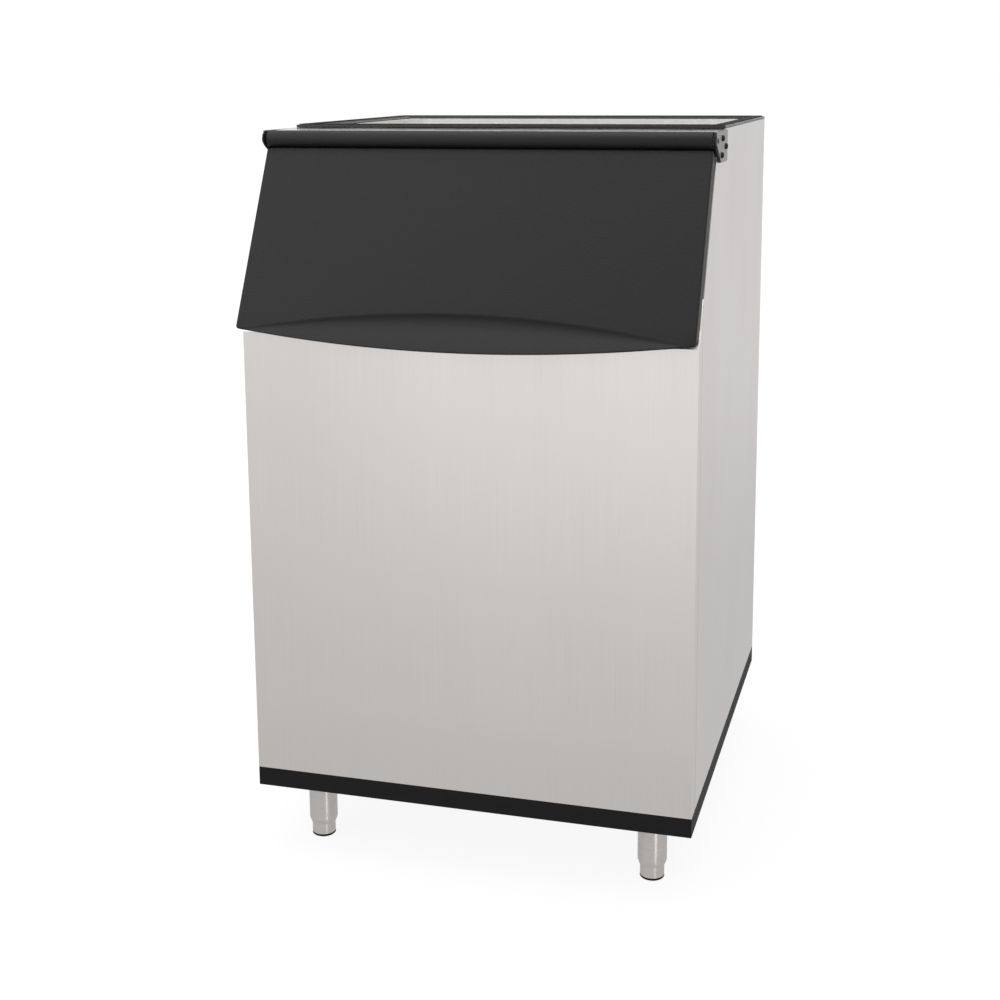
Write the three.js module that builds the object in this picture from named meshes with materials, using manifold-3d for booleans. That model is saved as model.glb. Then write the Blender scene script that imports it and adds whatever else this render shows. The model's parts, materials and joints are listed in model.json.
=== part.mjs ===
// Free-standing ice storage bin: steel casing, foam, white liner, slanted front with lift-up door, legs.
// Millimetres. +Z up, front faces -Y. Origin on the floor, under the middle of the overall box.
import * as THREE from 'three';
import { mergeVertices } from 'three/addons/utils/BufferGeometryUtils.js';
import Module from 'manifold-3d';

const wasm = await Module();
wasm.setup();

// Overall sizes
const cabinetWidth = 762;
const cabinetDepth = 811;
const legHeight = 125;
const ledgeHeight = 1258.5;
const trimHeight = 33;

// Sheet metal
const sheet = 1.2;
const frontReturn = 34;
const sideFlange = 23;
const topFlange = 20;
const rearFlange = 18;
const sillFlange = 33;
const headerFlange = 34;

// Slanted front, door and hinge
const slantAngle = THREE.MathUtils.degToRad(27.8);
const hingeSetback = 127;
const hingeDrop = 15.5;
const doorThickness = 28;
const doorGap = 5;
const doorSideClearance = 1;
const doorTopReveal = 14.9;
const doorSillOverlap = 5;
const doorSkin = 3.5;
const doorWall = 3;
const doorCornerRadius = 5;

// Lip along the door's lower edge, a lens between an upper crease and the lower edge
const creaseRise = 36.5;
const creaseEndInset = 12;
const lipDrop = 30;
const lipOverhang = 9.5;
const lipLeastWidth = 2;
const lipInwardSlopeShare = 0.5;
const lipCurveShare = 0.625;

// Ledge and rim
const ledgeBehindHinge = 21.5;
const ledgeWidth = 100.5;
const ledgeDrop = 2;
const ledgeUnderRim = 13;
const ledgeTurnDown = 4.8;
const linerReveal = 6;
const rimStepHeight = 2.2;
const rimStepWidth = 10;
const rimHeight = 4.2;
const sealHeight = 1.2;
const sealWidth = 16;
const sealInset = 4;

// Liner and insulation
const insulation = 37;
const linerWall = 4;
const linerCornerRadius = 28;
const linerFlangeWidth = 12;
const linerFlangeThickness = 2.4;
const floorFall = 12;
const sumpWidth = 110;
const sumpDepth = 70;
const sumpDrop = 20;
const sumpRise = 10;

// Access opening in the slanted front: its top is measured down the slant from the hinge axis
const openingSideWidth = 63;
const openingTop = 62;
const sillWidth = 43;
const frameWall = 2.4;
const framePlate = 2.5;
const frameOverlap = 46;
const frameHeaderOverlap = 18;
const frameSillOverlap = 14;

// Base and legs
const trimWall = 3;
const trimFlange = 22;
const trimFlangeThickness = 2.5;
const legInset = 80.4;
const legSetback = 93.5;
const legRadius = 25;
const footRadius = 20.7;
const legWall = 1.6;
const legTaperBottom = 24.6;
const legTaperTop = 33;
const legNutCover = 13;
const legNutHeight = 38;
const legStudRadius = 8;
const legStudRise = 22;
const footTopClearance = 4;
const footWall = 2.6;
const footFloor = 4;
const footStudRadius = 6;
const footStudClearance = 1;
const padHeight = 4;
const padChamfer = 1.5;
const padGroove = 0.8;
const padOverhang = 0.2;
const socketHalfWidth = 38;
const socketPlate = 3;
const socketBossRadius = 14;

// Hinge brackets
const spacerNose = [
  [-5, 13.5],
  [-11, 12],
  [-16.5, 7.5],
  [-19, 1],
  [-17, -4.5],
  [-10, -11],
  [1, -17.5],
  [18, -27],
  [38, -36],
];
const plateNoseFront = 8.5;
const plateNoseDrop = 7;
const hingeSpacerThickness = 3;
const hingePlateThickness = 1.6;
const hingePlateDrop = 1;
const hingePlateBack = 109;
const hingePlateBelow = 36;
const hingePlateTip = 43;
const hingePlateCorner = 5;
const hingeNutPlateThickness = 3;
const hingeNutPlateMargin = 8;
const screwPlaces = [
  [48, 2.5],
  [86, -11.7],
  [41, -24],
];
const screwHeadRadius = 5;
const screwHeadHeight = 3.4;
const screwHeadDome = 1.3;
const screwSocketRadius = 2.2;
const screwSocketDepth = 1.8;
const screwShankRadius = 2.8;
const screwReach = 9;
const pinRadius = 4;
const pinProud = 1.2;
const pinReach = 24;

// Hinge barrel
const barrelRadius = 14.5;
const barrelBore = 9;
const barrelEndClearance = 1.6;
const barrelLeafStart = 6.8;
const barrelLeafThickness = 3;
const barrelLeafLength = 45;
const bushingLength = 20;
const bushingFlange = 1.1;
const bushingFlangeRadius = 11.5;

// Door inner skin, its raised panel and screws
const innerSkin = 2.5;
const plugSideClearance = 20;
const plugEndClearance = 18;
const plugRise = 8;
const doorScrewDown = 32;
const doorScrewShares = [-0.84, -0.29, 0.29, 0.84];
const doorScrewHeadRadius = 4.5;
const doorScrewHeadHeight = 1.8;
const doorScrewShankRadius = 2.2;
const doorScrewTip = 4.4;
const bumperRadius = 8;
const bumperInset = 35;
const bumperSillInset = 20;

// Ice baffle
const baffleSideClearance = 28;
const baffleSheet = 2;
const baffleTop = 20;
const baffleBend = 60;
const baffleOpenHeight = 87;
const baffleLean = 42;
const thumbScrewShare = 0.6;
const thumbScrewDown = 40;
const thumbScrewKnobRadius = 11;
const thumbScrewKnobHeight = 9;
const thumbScrewFaceShare = 0.7;
const thumbScrewShankRadius = 3;
const thumbScrewReach = 16;

// Drain
const drainBore = 9.5;
const drainTube = 13;
const drainFlangeRadius = 21;
const drainFlangeThickness = 3;
const drainNutRadius = 19;
const drainNutHeight = 8;
const drainPanelHole = 16;
const strainerRadius = 17;
const strainerThickness = 2.5;
const strainerNeckLength = 12;
const strainerNeckWall = 1.6;
const strainerSlotWidth = 2;
const strainerSlotLengthShare = 0.8;

// Clearances
const seatGap = 0.3;
const seamGap = 0.5;
const runningGap = 0.3;
const footGap = 0.5;
const cutOverrun = 6;
const cutBeyondFace = 24;

// Facets
const roundSides = 28;
const smallSides = 12;
const cornerSteps = 4;
const lipRows = 6;
const skinBays = 10;
const strainerSlots = 5;
const hexSides = 6;

// Finishes
const steel = { color: 0xd2cfcb, roughness: 0.34, metalness: 0.9 };
const plainSteel = { color: 0xa9abaa, roughness: 0.5, metalness: 0.8 };
const blackPlastic = { color: 0x1c1c1c, roughness: 0.55, metalness: 0 };
const grainedPlastic = { color: 0x2e2e2e, roughness: 0.6, metalness: 0 };
const whitePlastic = { color: 0xeceae5, roughness: 0.5, metalness: 0 };
const blackRubber = { color: 0x141414, roughness: 0.9, metalness: 0 };
const paleFoam = { color: 0xe2d3a4, roughness: 0.95, metalness: 0 };
const blackScrew = { color: 0x161616, roughness: 0.45, metalness: 0.6 };

// Sizes that follow from the ones above
const halfWidth = cabinetWidth / 2;
const panelBottom = legHeight + trimHeight + seatGap;
const hingeHeight = ledgeHeight - hingeDrop;
const faceDepth = doorThickness + doorGap;
const innerInset = insulation + linerWall;
const doorHalfWidth = halfWidth - doorSideClearance;
const barrelHalfLength = halfWidth - barrelEndClearance;
const creaseHalfWidth = doorHalfWidth - creaseEndInset;
const openingHalfWidth = halfWidth - openingSideWidth;
const plugHalfWidth = openingHalfWidth - plugSideClearance;
const baffleHalfWidth = openingHalfWidth - baffleSideClearance;
const thumbScrewAcross = halfWidth * thumbScrewShare;
const bumperAcross = doorHalfWidth - bumperInset;
const doorScrewPlaces = doorScrewShares.map((share) => doorHalfWidth * share);
const ledgeSetback = hingeSetback + ledgeBehindHinge;
const rimSetback = ledgeSetback + ledgeWidth;
const ledgeRear = rimSetback + ledgeUnderRim;
const rimWidth = innerInset - linerReveal;
const topOpeningSetback = rimSetback + innerInset;
const legNutTop = legHeight - legNutCover;
const legNutBottom = legNutTop - legNutHeight;
const footTop = legNutBottom - footTopClearance;
const footStudTop = legNutTop - footStudClearance;
const screwHoleSeats = screwPlaces.map(([back, up]) => [hingeSetback + back, hingeHeight + up]);
const sine = Math.sin(slantAngle);
const cosine = Math.cos(slantAngle);
const tangent = Math.tan(slantAngle);

// A point of the slanted front: down runs along the slant from the hinge axis, inward goes behind the door
function slantPoint(down, inward) {
  return [hingeSetback - sine * down + cosine * inward, hingeHeight - cosine * down - sine * inward];
}

const slantBottomDown = (hingeSetback + cosine * faceDepth) / sine;
const slantTopDown = (hingeSetback + cosine * faceDepth - ledgeSetback) / sine;
const doorLength = slantBottomDown + doorSillOverlap;
const doorWallBottom = doorLength - lipOverhang;
const openingBottom = slantBottomDown - sillWidth;
const plugTop = openingTop + plugEndClearance;
const plugBottom = openingBottom - plugEndClearance;
const baffleBottom = openingBottom - baffleOpenHeight;
const bumperDown = slantBottomDown - bumperSillInset;
const slantBottom = slantPoint(slantBottomDown, faceDepth);
const slantTop = slantPoint(slantTopDown, faceDepth);

function slantHeightAt(setback) {
  return slantBottom[1] + setback / tangent;
}

// The lip's lens on the door: crease and lower edge as distances down the slant
function doorEdgeDown(across) {
  const reach = Math.abs(across);
  const bow = lipDrop * (1 - (reach / doorHalfWidth) ** 2);
  const past = Math.max(0, reach - (doorHalfWidth - doorCornerRadius));
  const round = doorCornerRadius - Math.sqrt(Math.max(0, doorCornerRadius ** 2 - past ** 2));
  return doorLength + bow - round;
}

function creaseDown(across) {
  const lens = doorLength - creaseRise * Math.max(0, 1 - (across / creaseHalfWidth) ** 2);
  return Math.min(lens, doorEdgeDown(across) - lipLeastWidth);
}

function lipOutward(across, down) {
  const crease = creaseDown(across);
  const width = doorEdgeDown(across) - crease;
  const share = THREE.MathUtils.clamp((down - crease) / width, 0, 1);
  return width * (lipCurveShare * share ** 2 - lipInwardSlopeShare * share);
}

const lipTip = slantPoint(doorEdgeDown(0), -lipOutward(0, doorEdgeDown(0)));
const lipReach = -lipTip[0];
const frontFace = lipReach - (cabinetDepth + lipReach) / 2;

// Solids
function signedVolume(geometry) {
  const place = geometry.attributes.position;
  const index = geometry.index;
  const a = new THREE.Vector3();
  const b = new THREE.Vector3();
  const c = new THREE.Vector3();
  let sum = 0;
  for (let i = 0; i < index.count; i += 3) {
    a.fromBufferAttribute(place, index.getX(i));
    b.fromBufferAttribute(place, index.getX(i + 1));
    c.fromBufferAttribute(place, index.getX(i + 2));
    sum += a.dot(b.cross(c));
  }
  return sum / 6;
}

function toSolid(source) {
  const geometry = source.clone();
  geometry.deleteAttribute('normal');
  geometry.deleteAttribute('uv');
  const merged = mergeVertices(geometry);
  const triVerts = new Uint32Array(merged.index.array);
  if (signedVolume(merged) < 0) {
    for (let i = 0; i < triVerts.length; i += 3) {
      [triVerts[i + 1], triVerts[i + 2]] = [triVerts[i + 2], triVerts[i + 1]];
    }
  }
  const vertProperties = new Float32Array(merged.attributes.position.array);
  return new wasm.Manifold(new wasm.Mesh({ numProp: 3, vertProperties, triVerts }));
}

function toGeometry(solid) {
  const mesh = solid.getMesh();
  const geometry = new THREE.BufferGeometry();
  geometry.setAttribute('position', new THREE.BufferAttribute(new Float32Array(mesh.vertProperties), 3));
  geometry.setIndex(new THREE.BufferAttribute(new Uint32Array(mesh.triVerts), 1));
  return geometry;
}

function join(...solids) {
  return solids.reduce((whole, solid) => whole.add(solid));
}

function cut(solid, ...tools) {
  return tools.reduce((rest, tool) => rest.subtract(tool), solid);
}

function shapeOf(outline, holes = []) {
  const shape = new THREE.Shape(outline.map(([u, v]) => new THREE.Vector2(u, v)));
  for (const hole of holes) {
    shape.holes.push(new THREE.Path(hole.map(([u, v]) => new THREE.Vector2(u, v))));
  }
  return shape;
}

function extrude(outline, from, to, holes) {
  const settings = { depth: to - from, bevelEnabled: false };
  return new THREE.ExtrudeGeometry(shapeOf(outline, holes), settings).translate(0, 0, from);
}

// Outline in (y, z), run along x
function alongX(outline, from, to, holes) {
  const turn = new THREE.Matrix4().makeBasis(
    new THREE.Vector3(0, 1, 0),
    new THREE.Vector3(0, 0, 1),
    new THREE.Vector3(1, 0, 0),
  );
  return toSolid(extrude(outline, from, to, holes).applyMatrix4(turn));
}

// Outline in (z, x), run along y
function alongY(outline, from, to, holes) {
  const turn = new THREE.Matrix4().makeBasis(
    new THREE.Vector3(0, 0, 1),
    new THREE.Vector3(1, 0, 0),
    new THREE.Vector3(0, 1, 0),
  );
  return toSolid(extrude(outline, from, to, holes).applyMatrix4(turn));
}

// Outline in (x, y), run along z
function alongZ(outline, from, to, holes) {
  return toSolid(extrude(outline, from, to, holes));
}

function block(x0, x1, y0, y1, z0, z1) {
  const box = new THREE.BoxGeometry(x1 - x0, y1 - y0, z1 - z0);
  return toSolid(box.translate((x0 + x1) / 2, (y0 + y1) / 2, (z0 + z1) / 2));
}

function rod(axis, radius, from, to, u, v, sides = smallSides) {
  const geometry = new THREE.CylinderGeometry(radius, radius, to - from, sides);
  geometry.translate(0, (from + to) / 2, 0);
  if (axis === 'x') {
    return toSolid(geometry.rotateZ(-Math.PI / 2).translate(0, u, v));
  }
  if (axis === 'z') {
    return toSolid(geometry.rotateX(Math.PI / 2).translate(u, v, 0));
  }
  return toSolid(geometry.translate(u, 0, v));
}

// Profile in (radius, height), turned about z
function turned(profile, sides = roundSides) {
  const points = profile.map(([radius, height]) => new THREE.Vector2(radius, height));
  return toSolid(new THREE.LatheGeometry(points, sides).rotateX(Math.PI / 2));
}

function roundedRectangle(x0, x1, y0, y1, radius) {
  const corners = [
    [x1 - radius, y0 + radius, -Math.PI / 2],
    [x1 - radius, y1 - radius, 0],
    [x0 + radius, y1 - radius, Math.PI / 2],
    [x0 + radius, y0 + radius, Math.PI],
  ];
  const outline = [];
  for (const [x, y, start] of corners) {
    for (let step = 0; step <= cornerSteps; step += 1) {
      const angle = start + (step / cornerSteps) * (Math.PI / 2);
      outline.push([x + radius * Math.cos(angle), y + radius * Math.sin(angle)]);
    }
  }
  return outline;
}

function arcPoints(u, v, radius, startAngle, endAngle, steps) {
  const points = [];
  for (let step = 0; step <= steps; step += 1) {
    const angle = startAngle + (step / steps) * (endAngle - startAngle);
    points.push([u + radius * Math.cos(angle), v + radius * Math.sin(angle)]);
  }
  return points;
}

// Where two lines cross, each given by a point and a direction
function crossing(p, d, q, e) {
  const share = ((q[0] - p[0]) * e[1] - (q[1] - p[1]) * e[0]) / (d[0] * e[1] - d[1] * e[0]);
  return [p[0] + share * d[0], p[1] + share * d[1]];
}

function sideOf(a, b, distance) {
  const run = Math.hypot(b[0] - a[0], b[1] - a[1]);
  const direction = [(b[0] - a[0]) / run, (b[1] - a[1]) / run];
  const start = [a[0] - direction[1] * distance, a[1] + direction[0] * distance];
  return { start, direction, end: [start[0] + direction[0] * run, start[1] + direction[1] * run] };
}

// A closed anticlockwise outline with every side moved inwards
function insetOutline(outline, distance) {
  return outline.map((point, i) => {
    const before = outline[(i + outline.length - 1) % outline.length];
    const after = outline[(i + 1) % outline.length];
    const first = sideOf(before, point, distance);
    const second = sideOf(point, after, distance);
    return crossing(first.start, first.direction, second.start, second.direction);
  });
}

// A bent sheet: an open path and the same path moved to its left by the thickness
function bentSheet(path, thickness) {
  const sides = [];
  for (let i = 0; i < path.length - 1; i += 1) {
    sides.push(sideOf(path[i], path[i + 1], thickness));
  }
  const moved = [sides[0].start];
  for (let i = 1; i < sides.length; i += 1) {
    moved.push(crossing(sides[i - 1].start, sides[i - 1].direction, sides[i].start, sides[i].direction));
  }
  moved.push(sides[sides.length - 1].end);
  return [...path, ...moved.reverse()];
}

function mirrored(solid) {
  return solid.mirror([1, 0, 0]);
}

// From the slanted door's own axes to the cabinet's: origin on the hinge axis, -Z down the slant
const slantPlace = new THREE.Matrix4()
  .makeTranslation(0, hingeSetback, hingeHeight)
  .multiply(new THREE.Matrix4().makeRotationX(-slantAngle));

function slanted(solid) {
  return toSolid(toGeometry(solid).applyMatrix4(slantPlace));
}

// Groups: the cabinet's own origin is on its front face, the slant's is on the hinge axis
const bin = new THREE.Group();
const cabinet = new THREE.Group();
cabinet.position.set(0, frontFace, 0);
const slant = new THREE.Group();
slant.position.set(0, hingeSetback, hingeHeight);
slant.rotation.x = -slantAngle;
bin.add(cabinet);
cabinet.add(slant);

function addPiece(parent, name, solid, finish) {
  const mesh = new THREE.Mesh(toGeometry(solid), new THREE.MeshStandardMaterial(finish));
  mesh.name = name;
  parent.add(mesh);
  return mesh;
}

// Front panel: face, corner returns and the flange that bends back along the slant to the opening's sill
function frontPanel() {
  const sillEnd = slantPoint(slantBottomDown - sillFlange, faceDepth);
  const face = bentSheet([[0, panelBottom], slantBottom, sillEnd].reverse(), sheet);
  const side = [
    [0, panelBottom],
    [frontReturn, panelBottom],
    [frontReturn, slantHeightAt(frontReturn) - sheet],
    [0, slantHeightAt(0) - sheet],
  ];
  const rightReturn = alongX(side, halfWidth - sheet, halfWidth);
  return join(alongX(face, -halfWidth, halfWidth), rightReturn, mirrored(rightReturn));
}

// Right side panel: flat sheet with a slanted front edge and flanges bent inwards
function sidePanel() {
  const front = frontReturn + seamGap;
  const rear = cabinetDepth;
  const underLedge = ledgeHeight - sheet - seatGap;
  const ledgeStep = ledgeRear + seatGap;
  const outline = [
    [front, panelBottom],
    [rear, panelBottom],
    [rear, ledgeHeight],
    [ledgeStep, ledgeHeight],
    [ledgeStep, underLedge],
    [rimSetback, underLedge],
    [ledgeSetback, underLedge - ledgeDrop],
    slantTop,
    [front, slantHeightAt(front)],
  ];
  const plate = alongX(outline, halfWidth - sheet, halfWidth);
  const slantEdge = bentSheet([slantTop, [front, slantHeightAt(front)]], sheet);
  const slantStrip = alongX(slantEdge, halfWidth - sideFlange, halfWidth);
  const backFace = rear - sheet - seatGap;
  const topStrip = block(
    halfWidth - topFlange, halfWidth - sheet / 2,
    ledgeStep, backFace,
    ledgeHeight - sheet, ledgeHeight,
  );
  const rearStrip = block(
    halfWidth - rearFlange, halfWidth - sheet / 2,
    backFace - sheet, backFace,
    panelBottom, ledgeHeight,
  );
  return cut(join(plate, slantStrip, topStrip, rearStrip), ...screwHoles(0, halfWidth + cutOverrun));
}

// Top ledge: strip in front of the rim, a lip behind the hinge barrel and a flange down to the header
function topLedge() {
  const front = [ledgeSetback, ledgeHeight - ledgeDrop];
  const top = bentSheet([[ledgeRear, ledgeHeight], [rimSetback, ledgeHeight], front], sheet);
  const lip = block(
    -halfWidth + sheet + seatGap, halfWidth - sheet - seatGap,
    ledgeSetback, ledgeSetback + sheet,
    slantTop[1] + sheet * 2, front[1] - sheet / 2,
  );
  const start = [ledgeSetback, slantTop[1] + ledgeTurnDown];
  const headerEnd = slantPoint(slantTopDown + headerFlange, faceDepth);
  const header = bentSheet([start, slantTop, headerEnd], sheet);
  const headerHalf = halfWidth - sideFlange - seatGap;
  return join(alongX(top, -halfWidth, halfWidth), lip, alongX(header, -headerHalf, headerHalf));
}

// The drain's height follows the liner's floor at the back
const floorRear = panelBottom + innerInset;
const drainHeight = floorRear - sumpDrop + drainFlangeRadius + seatGap;

function backPanel() {
  const inside = halfWidth - sheet - seatGap;
  const plate = block(-inside, inside, cabinetDepth - sheet, cabinetDepth, panelBottom, ledgeHeight);
  return cut(plate, rod('y', drainPanelHole, 0, cabinetDepth + cutOverrun, 0, drainHeight, roundSides));
}

// Base trim: a band all round with a narrow flange under the bottom pan
function baseTrim() {
  const top = legHeight + trimHeight;
  const band = block(-halfWidth, halfWidth, 0, cabinetDepth, legHeight, top);
  const wide = halfWidth - trimWall;
  const room = block(
    -wide, wide,
    trimWall, cabinetDepth - trimWall,
    legHeight + trimFlangeThickness, top + cutOverrun,
  );
  const narrow = halfWidth - trimFlange;
  const hole = block(
    -narrow, narrow,
    trimFlange, cabinetDepth - trimFlange,
    legHeight - cutOverrun, top + cutOverrun,
  );
  return cut(band, room, hole);
}

const panBottom = legHeight + trimFlangeThickness + seatGap;
const panTop = panBottom + sheet;
const legPlaces = [
  ['front_left', legInset - halfWidth, legSetback],
  ['front_right', halfWidth - legInset, legSetback],
  ['rear_left', legInset - halfWidth, cabinetDepth - legSetback],
  ['rear_right', halfWidth - legInset, cabinetDepth - legSetback],
];

function bottomPan() {
  const across = halfWidth - trimWall - seatGap;
  const inside = trimWall + seatGap;
  const plate = block(-across, across, inside, cabinetDepth - inside, panBottom, panTop);
  const holes = legPlaces.map(([, x, y]) => (
    rod('z', legStudRadius + seatGap * 2, panBottom - cutOverrun, panTop + cutOverrun, x, y)
  ));
  return cut(plate, ...holes);
}

const socketBottom = panTop + seatGap;
const socketTop = panTop + legStudRise;

function legSocket() {
  const half = socketHalfWidth;
  const plate = block(-half, half, -half, half, socketBottom, socketBottom + socketPlate);
  const boss = rod('z', socketBossRadius, socketBottom + socketPlate / 2, socketTop, 0, 0);
  const bore = rod('z', legStudRadius + seatGap, socketBottom - cutOverrun, socketTop + cutOverrun, 0, 0);
  return cut(join(plate, boss), bore);
}

// Leg tube: open below, with a tapered end, a nut for the foot's stud and a stud into the socket
function legTube() {
  const top = panBottom - seatGap;
  const bore = footRadius + footGap;
  const nutBore = footStudRadius + runningGap;
  const studTop = socketTop - seatGap;
  return turned([
    [0, legNutTop],
    [nutBore, legNutTop],
    [nutBore, legNutBottom],
    [bore, legNutBottom],
    [bore, legTaperBottom],
    [bore + legWall / 2, legTaperBottom],
    [legRadius, legTaperTop],
    [legRadius, top],
    [legStudRadius, top],
    [legStudRadius, studTop],
    [0, studTop],
  ]);
}

// Screw foot: a cup that runs in the leg tube, with its stud in the tube's nut
function screwFoot() {
  const bottom = padHeight + seatGap;
  const inner = footRadius - footWall;
  return turned([
    [0, bottom],
    [footRadius, bottom],
    [footRadius, footTop],
    [inner, footTop],
    [inner, bottom + footFloor],
    [footStudRadius, bottom + footFloor],
    [footStudRadius, footStudTop],
    [0, footStudTop],
  ]);
}

function footPad() {
  return turned([
    [0, 0],
    [footRadius - padChamfer, 0],
    [footRadius + padOverhang, padChamfer],
    [footRadius + padOverhang, padHeight - padGroove],
    [footRadius - padGroove, padHeight],
    [0, padHeight],
  ]);
}

// The ice space and all that is parallel to it: grow is the distance outwards from the liner's inner face
function iceSpace(grow, neckEnd, topEnd) {
  const inset = innerInset - grow;
  const across = halfWidth - inset;
  const radius = linerCornerRadius + grow;
  const section = insetOutline([
    [0, panelBottom + floorFall],
    [cabinetDepth, panelBottom],
    [cabinetDepth, ledgeHeight],
    [ledgeSetback, ledgeHeight],
    slantTop,
    slantBottom,
  ], inset);
  const plan = roundedRectangle(-across, across, inset, cabinetDepth - inset, radius);
  const tub = alongX(section, -across, across).intersect(alongZ(plan, 0, ledgeHeight));
  const shaftFront = topOpeningSetback - grow;
  const shaftPlan = roundedRectangle(-across, across, shaftFront, cabinetDepth - inset, radius);
  const shaft = alongZ(shaftPlan, ledgeHeight - inset * 2, topEnd);
  const neck = slanted(block(
    -openingHalfWidth - grow, openingHalfWidth + grow,
    neckEnd, faceDepth + innerInset + cutOverrun,
    -openingBottom - grow, -openingTop + grow,
  ));
  const sump = block(
    -sumpWidth / 2 - grow, sumpWidth / 2 + grow,
    cabinetDepth - inset - sumpDepth - grow * 2, cabinetDepth - inset,
    floorRear - sumpDrop - grow, floorRear + sumpRise,
  );
  return join(tub, shaft, neck, sump);
}

function linerFlange(grow, from, to) {
  const across = halfWidth - innerInset + linerFlangeWidth + grow;
  const front = topOpeningSetback - linerFlangeWidth - grow;
  const rear = cabinetDepth - innerInset + linerFlangeWidth + grow;
  return alongZ(roundedRectangle(-across, across, front, rear, linerCornerRadius + grow), from, to);
}

const foamInset = sheet * 2 + seatGap * 2;

function linerTub() {
  const outside = iceSpace(linerWall, faceDepth + foamInset, ledgeHeight);
  const flange = linerFlange(0, ledgeHeight - linerFlangeThickness, ledgeHeight);
  const inside = iceSpace(0, faceDepth - cutOverrun, ledgeHeight + cutOverrun);
  const drain = rod(
    'y', drainTube + seatGap,
    cabinetDepth - innerInset - cutOverrun, cabinetDepth,
    0, drainHeight, roundSides,
  );
  const screws = thumbScrewPlaces().map((x) => slanted(rod(
    'y', thumbScrewShankRadius + seatGap,
    faceDepth, faceDepth + innerInset * 2,
    x, -thumbScrewDown,
  )));
  return cut(join(outside, flange), inside, drain, ...screws);
}

function thumbScrewPlaces() {
  return [-thumbScrewAcross, thumbScrewAcross];
}

// Foam: fills the casing round the liner, with pockets for the leg sockets, hinge nuts and drain
function foamBody() {
  const section = insetOutline([
    [0, panelBottom],
    [cabinetDepth, panelBottom],
    [cabinetDepth, ledgeHeight],
    [ledgeSetback, ledgeHeight - ledgeDrop],
    slantTop,
    slantBottom,
  ], foamInset);
  const across = halfWidth - sheet - seatGap;
  const upper = alongX(section, -across, across);
  const low = trimWall + seatGap;
  const lower = block(
    -halfWidth + low, halfWidth - low,
    low, cabinetDepth - low,
    panTop + seatGap, panelBottom + foamInset * 2,
  );
  const pocketHalf = socketHalfWidth + seatGap;
  const pockets = legPlaces.map(([, x, y]) => (
    block(x - pocketHalf, x + pocketHalf, y - pocketHalf, y + pocketHalf, panTop, socketTop + seatGap)
  ));
  const nutPocket = alongX(
    nutPlateOutline(seatGap),
    halfWidth - sheet - hingeNutPlateThickness - seatGap * 2, halfWidth,
  );
  const shanks = screwHoleSeats.map(([y, z]) => (
    rod('x', screwShankRadius + seatGap, halfWidth - screwReach - seatGap, halfWidth, y, z)
  ));
  const drain = rod('y', drainTube + seatGap, cabinetDepth / 2, cabinetDepth, 0, drainHeight, roundSides);
  const nutRoom = rod(
    'y', drainNutRadius + seatGap,
    cabinetDepth - insulation - cutOverrun, cabinetDepth - insulation + drainNutHeight + seatGap * 2,
    0, drainHeight, roundSides,
  );
  const thumbs = thumbScrewPlaces().map((x) => slanted(rod(
    'y', thumbScrewShankRadius + seatGap,
    faceDepth + innerInset - thumbScrewReach - seatGap, faceDepth + innerInset,
    x, -thumbScrewDown,
  )));
  const cuts = [nutPocket, ...shanks];
  return cut(
    join(upper, lower),
    iceSpace(linerWall + seatGap, 0, ledgeHeight + cutOverrun),
    ...pockets, ...cuts, ...cuts.map(mirrored), drain, nutRoom, ...thumbs,
  );
}

// Door frame: a flat border on the slanted face and a neck that lines the opening
function doorFrame() {
  const across = openingHalfWidth - seatGap;
  const top = openingTop + seatGap;
  const bottom = openingBottom - seatGap;
  const plate = block(
    -openingHalfWidth - frameOverlap, openingHalfWidth + frameOverlap,
    faceDepth - seatGap - framePlate, faceDepth - seatGap,
    -openingBottom - frameSillOverlap, -openingTop + frameHeaderOverlap,
  );
  const neck = block(
    -across, across,
    faceDepth - seatGap - framePlate / 2, faceDepth + innerInset,
    -bottom, -top,
  );
  const hole = block(
    -across + frameWall, across - frameWall,
    0, faceDepth + innerInset + cutOverrun,
    -bottom + frameWall, -top - frameWall,
  );
  return cut(join(plate, neck), hole);
}

// Rim round the top opening: a base strip with a raised outer part
function topRim() {
  const bottom = ledgeHeight + seatGap;
  const outer = block(-halfWidth, halfWidth, rimSetback, cabinetDepth, bottom, bottom + rimHeight);
  const wide = halfWidth - rimWidth + rimStepWidth;
  const step = block(
    -wide, wide,
    rimSetback + rimWidth - rimStepWidth, cabinetDepth - rimWidth + rimStepWidth,
    bottom + rimStepHeight, bottom + rimHeight + cutOverrun,
  );
  const narrow = halfWidth - rimWidth;
  const hole = block(
    -narrow, narrow,
    rimSetback + rimWidth, cabinetDepth - rimWidth,
    bottom - cutOverrun, bottom + rimHeight + cutOverrun,
  );
  return cut(outer, step, hole);
}

function topSeal() {
  const bottom = ledgeHeight + seatGap + rimHeight + seatGap;
  const across = halfWidth - sealInset;
  const front = rimSetback + sealInset;
  const rear = cabinetDepth - sealInset;
  const ring = block(-across, across, front, rear, bottom, bottom + sealHeight);
  const hole = block(
    -across + sealWidth, across - sealWidth,
    front + sealWidth, rear - sealWidth,
    bottom - cutOverrun, bottom + sealHeight + cutOverrun,
  );
  return cut(ring, hole);
}

// Rear of both hinge bracket outlines in (y, z), from the lower tip round to the top
function hingeRear() {
  const corner = hingePlateCorner;
  const rear = hingeSetback + hingePlateBack;
  const bottom = hingeHeight - hingePlateBelow;
  return [
    [hingeSetback + hingePlateTip, bottom],
    ...arcPoints(rear - corner, bottom + corner, corner, -Math.PI / 2, 0, cornerSteps),
    [rear, ledgeHeight - hingePlateDrop],
  ];
}

function spacerOutline() {
  return [...spacerNose.map(([y, z]) => [hingeSetback + y, hingeHeight + z]), ...hingeRear()];
}

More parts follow.
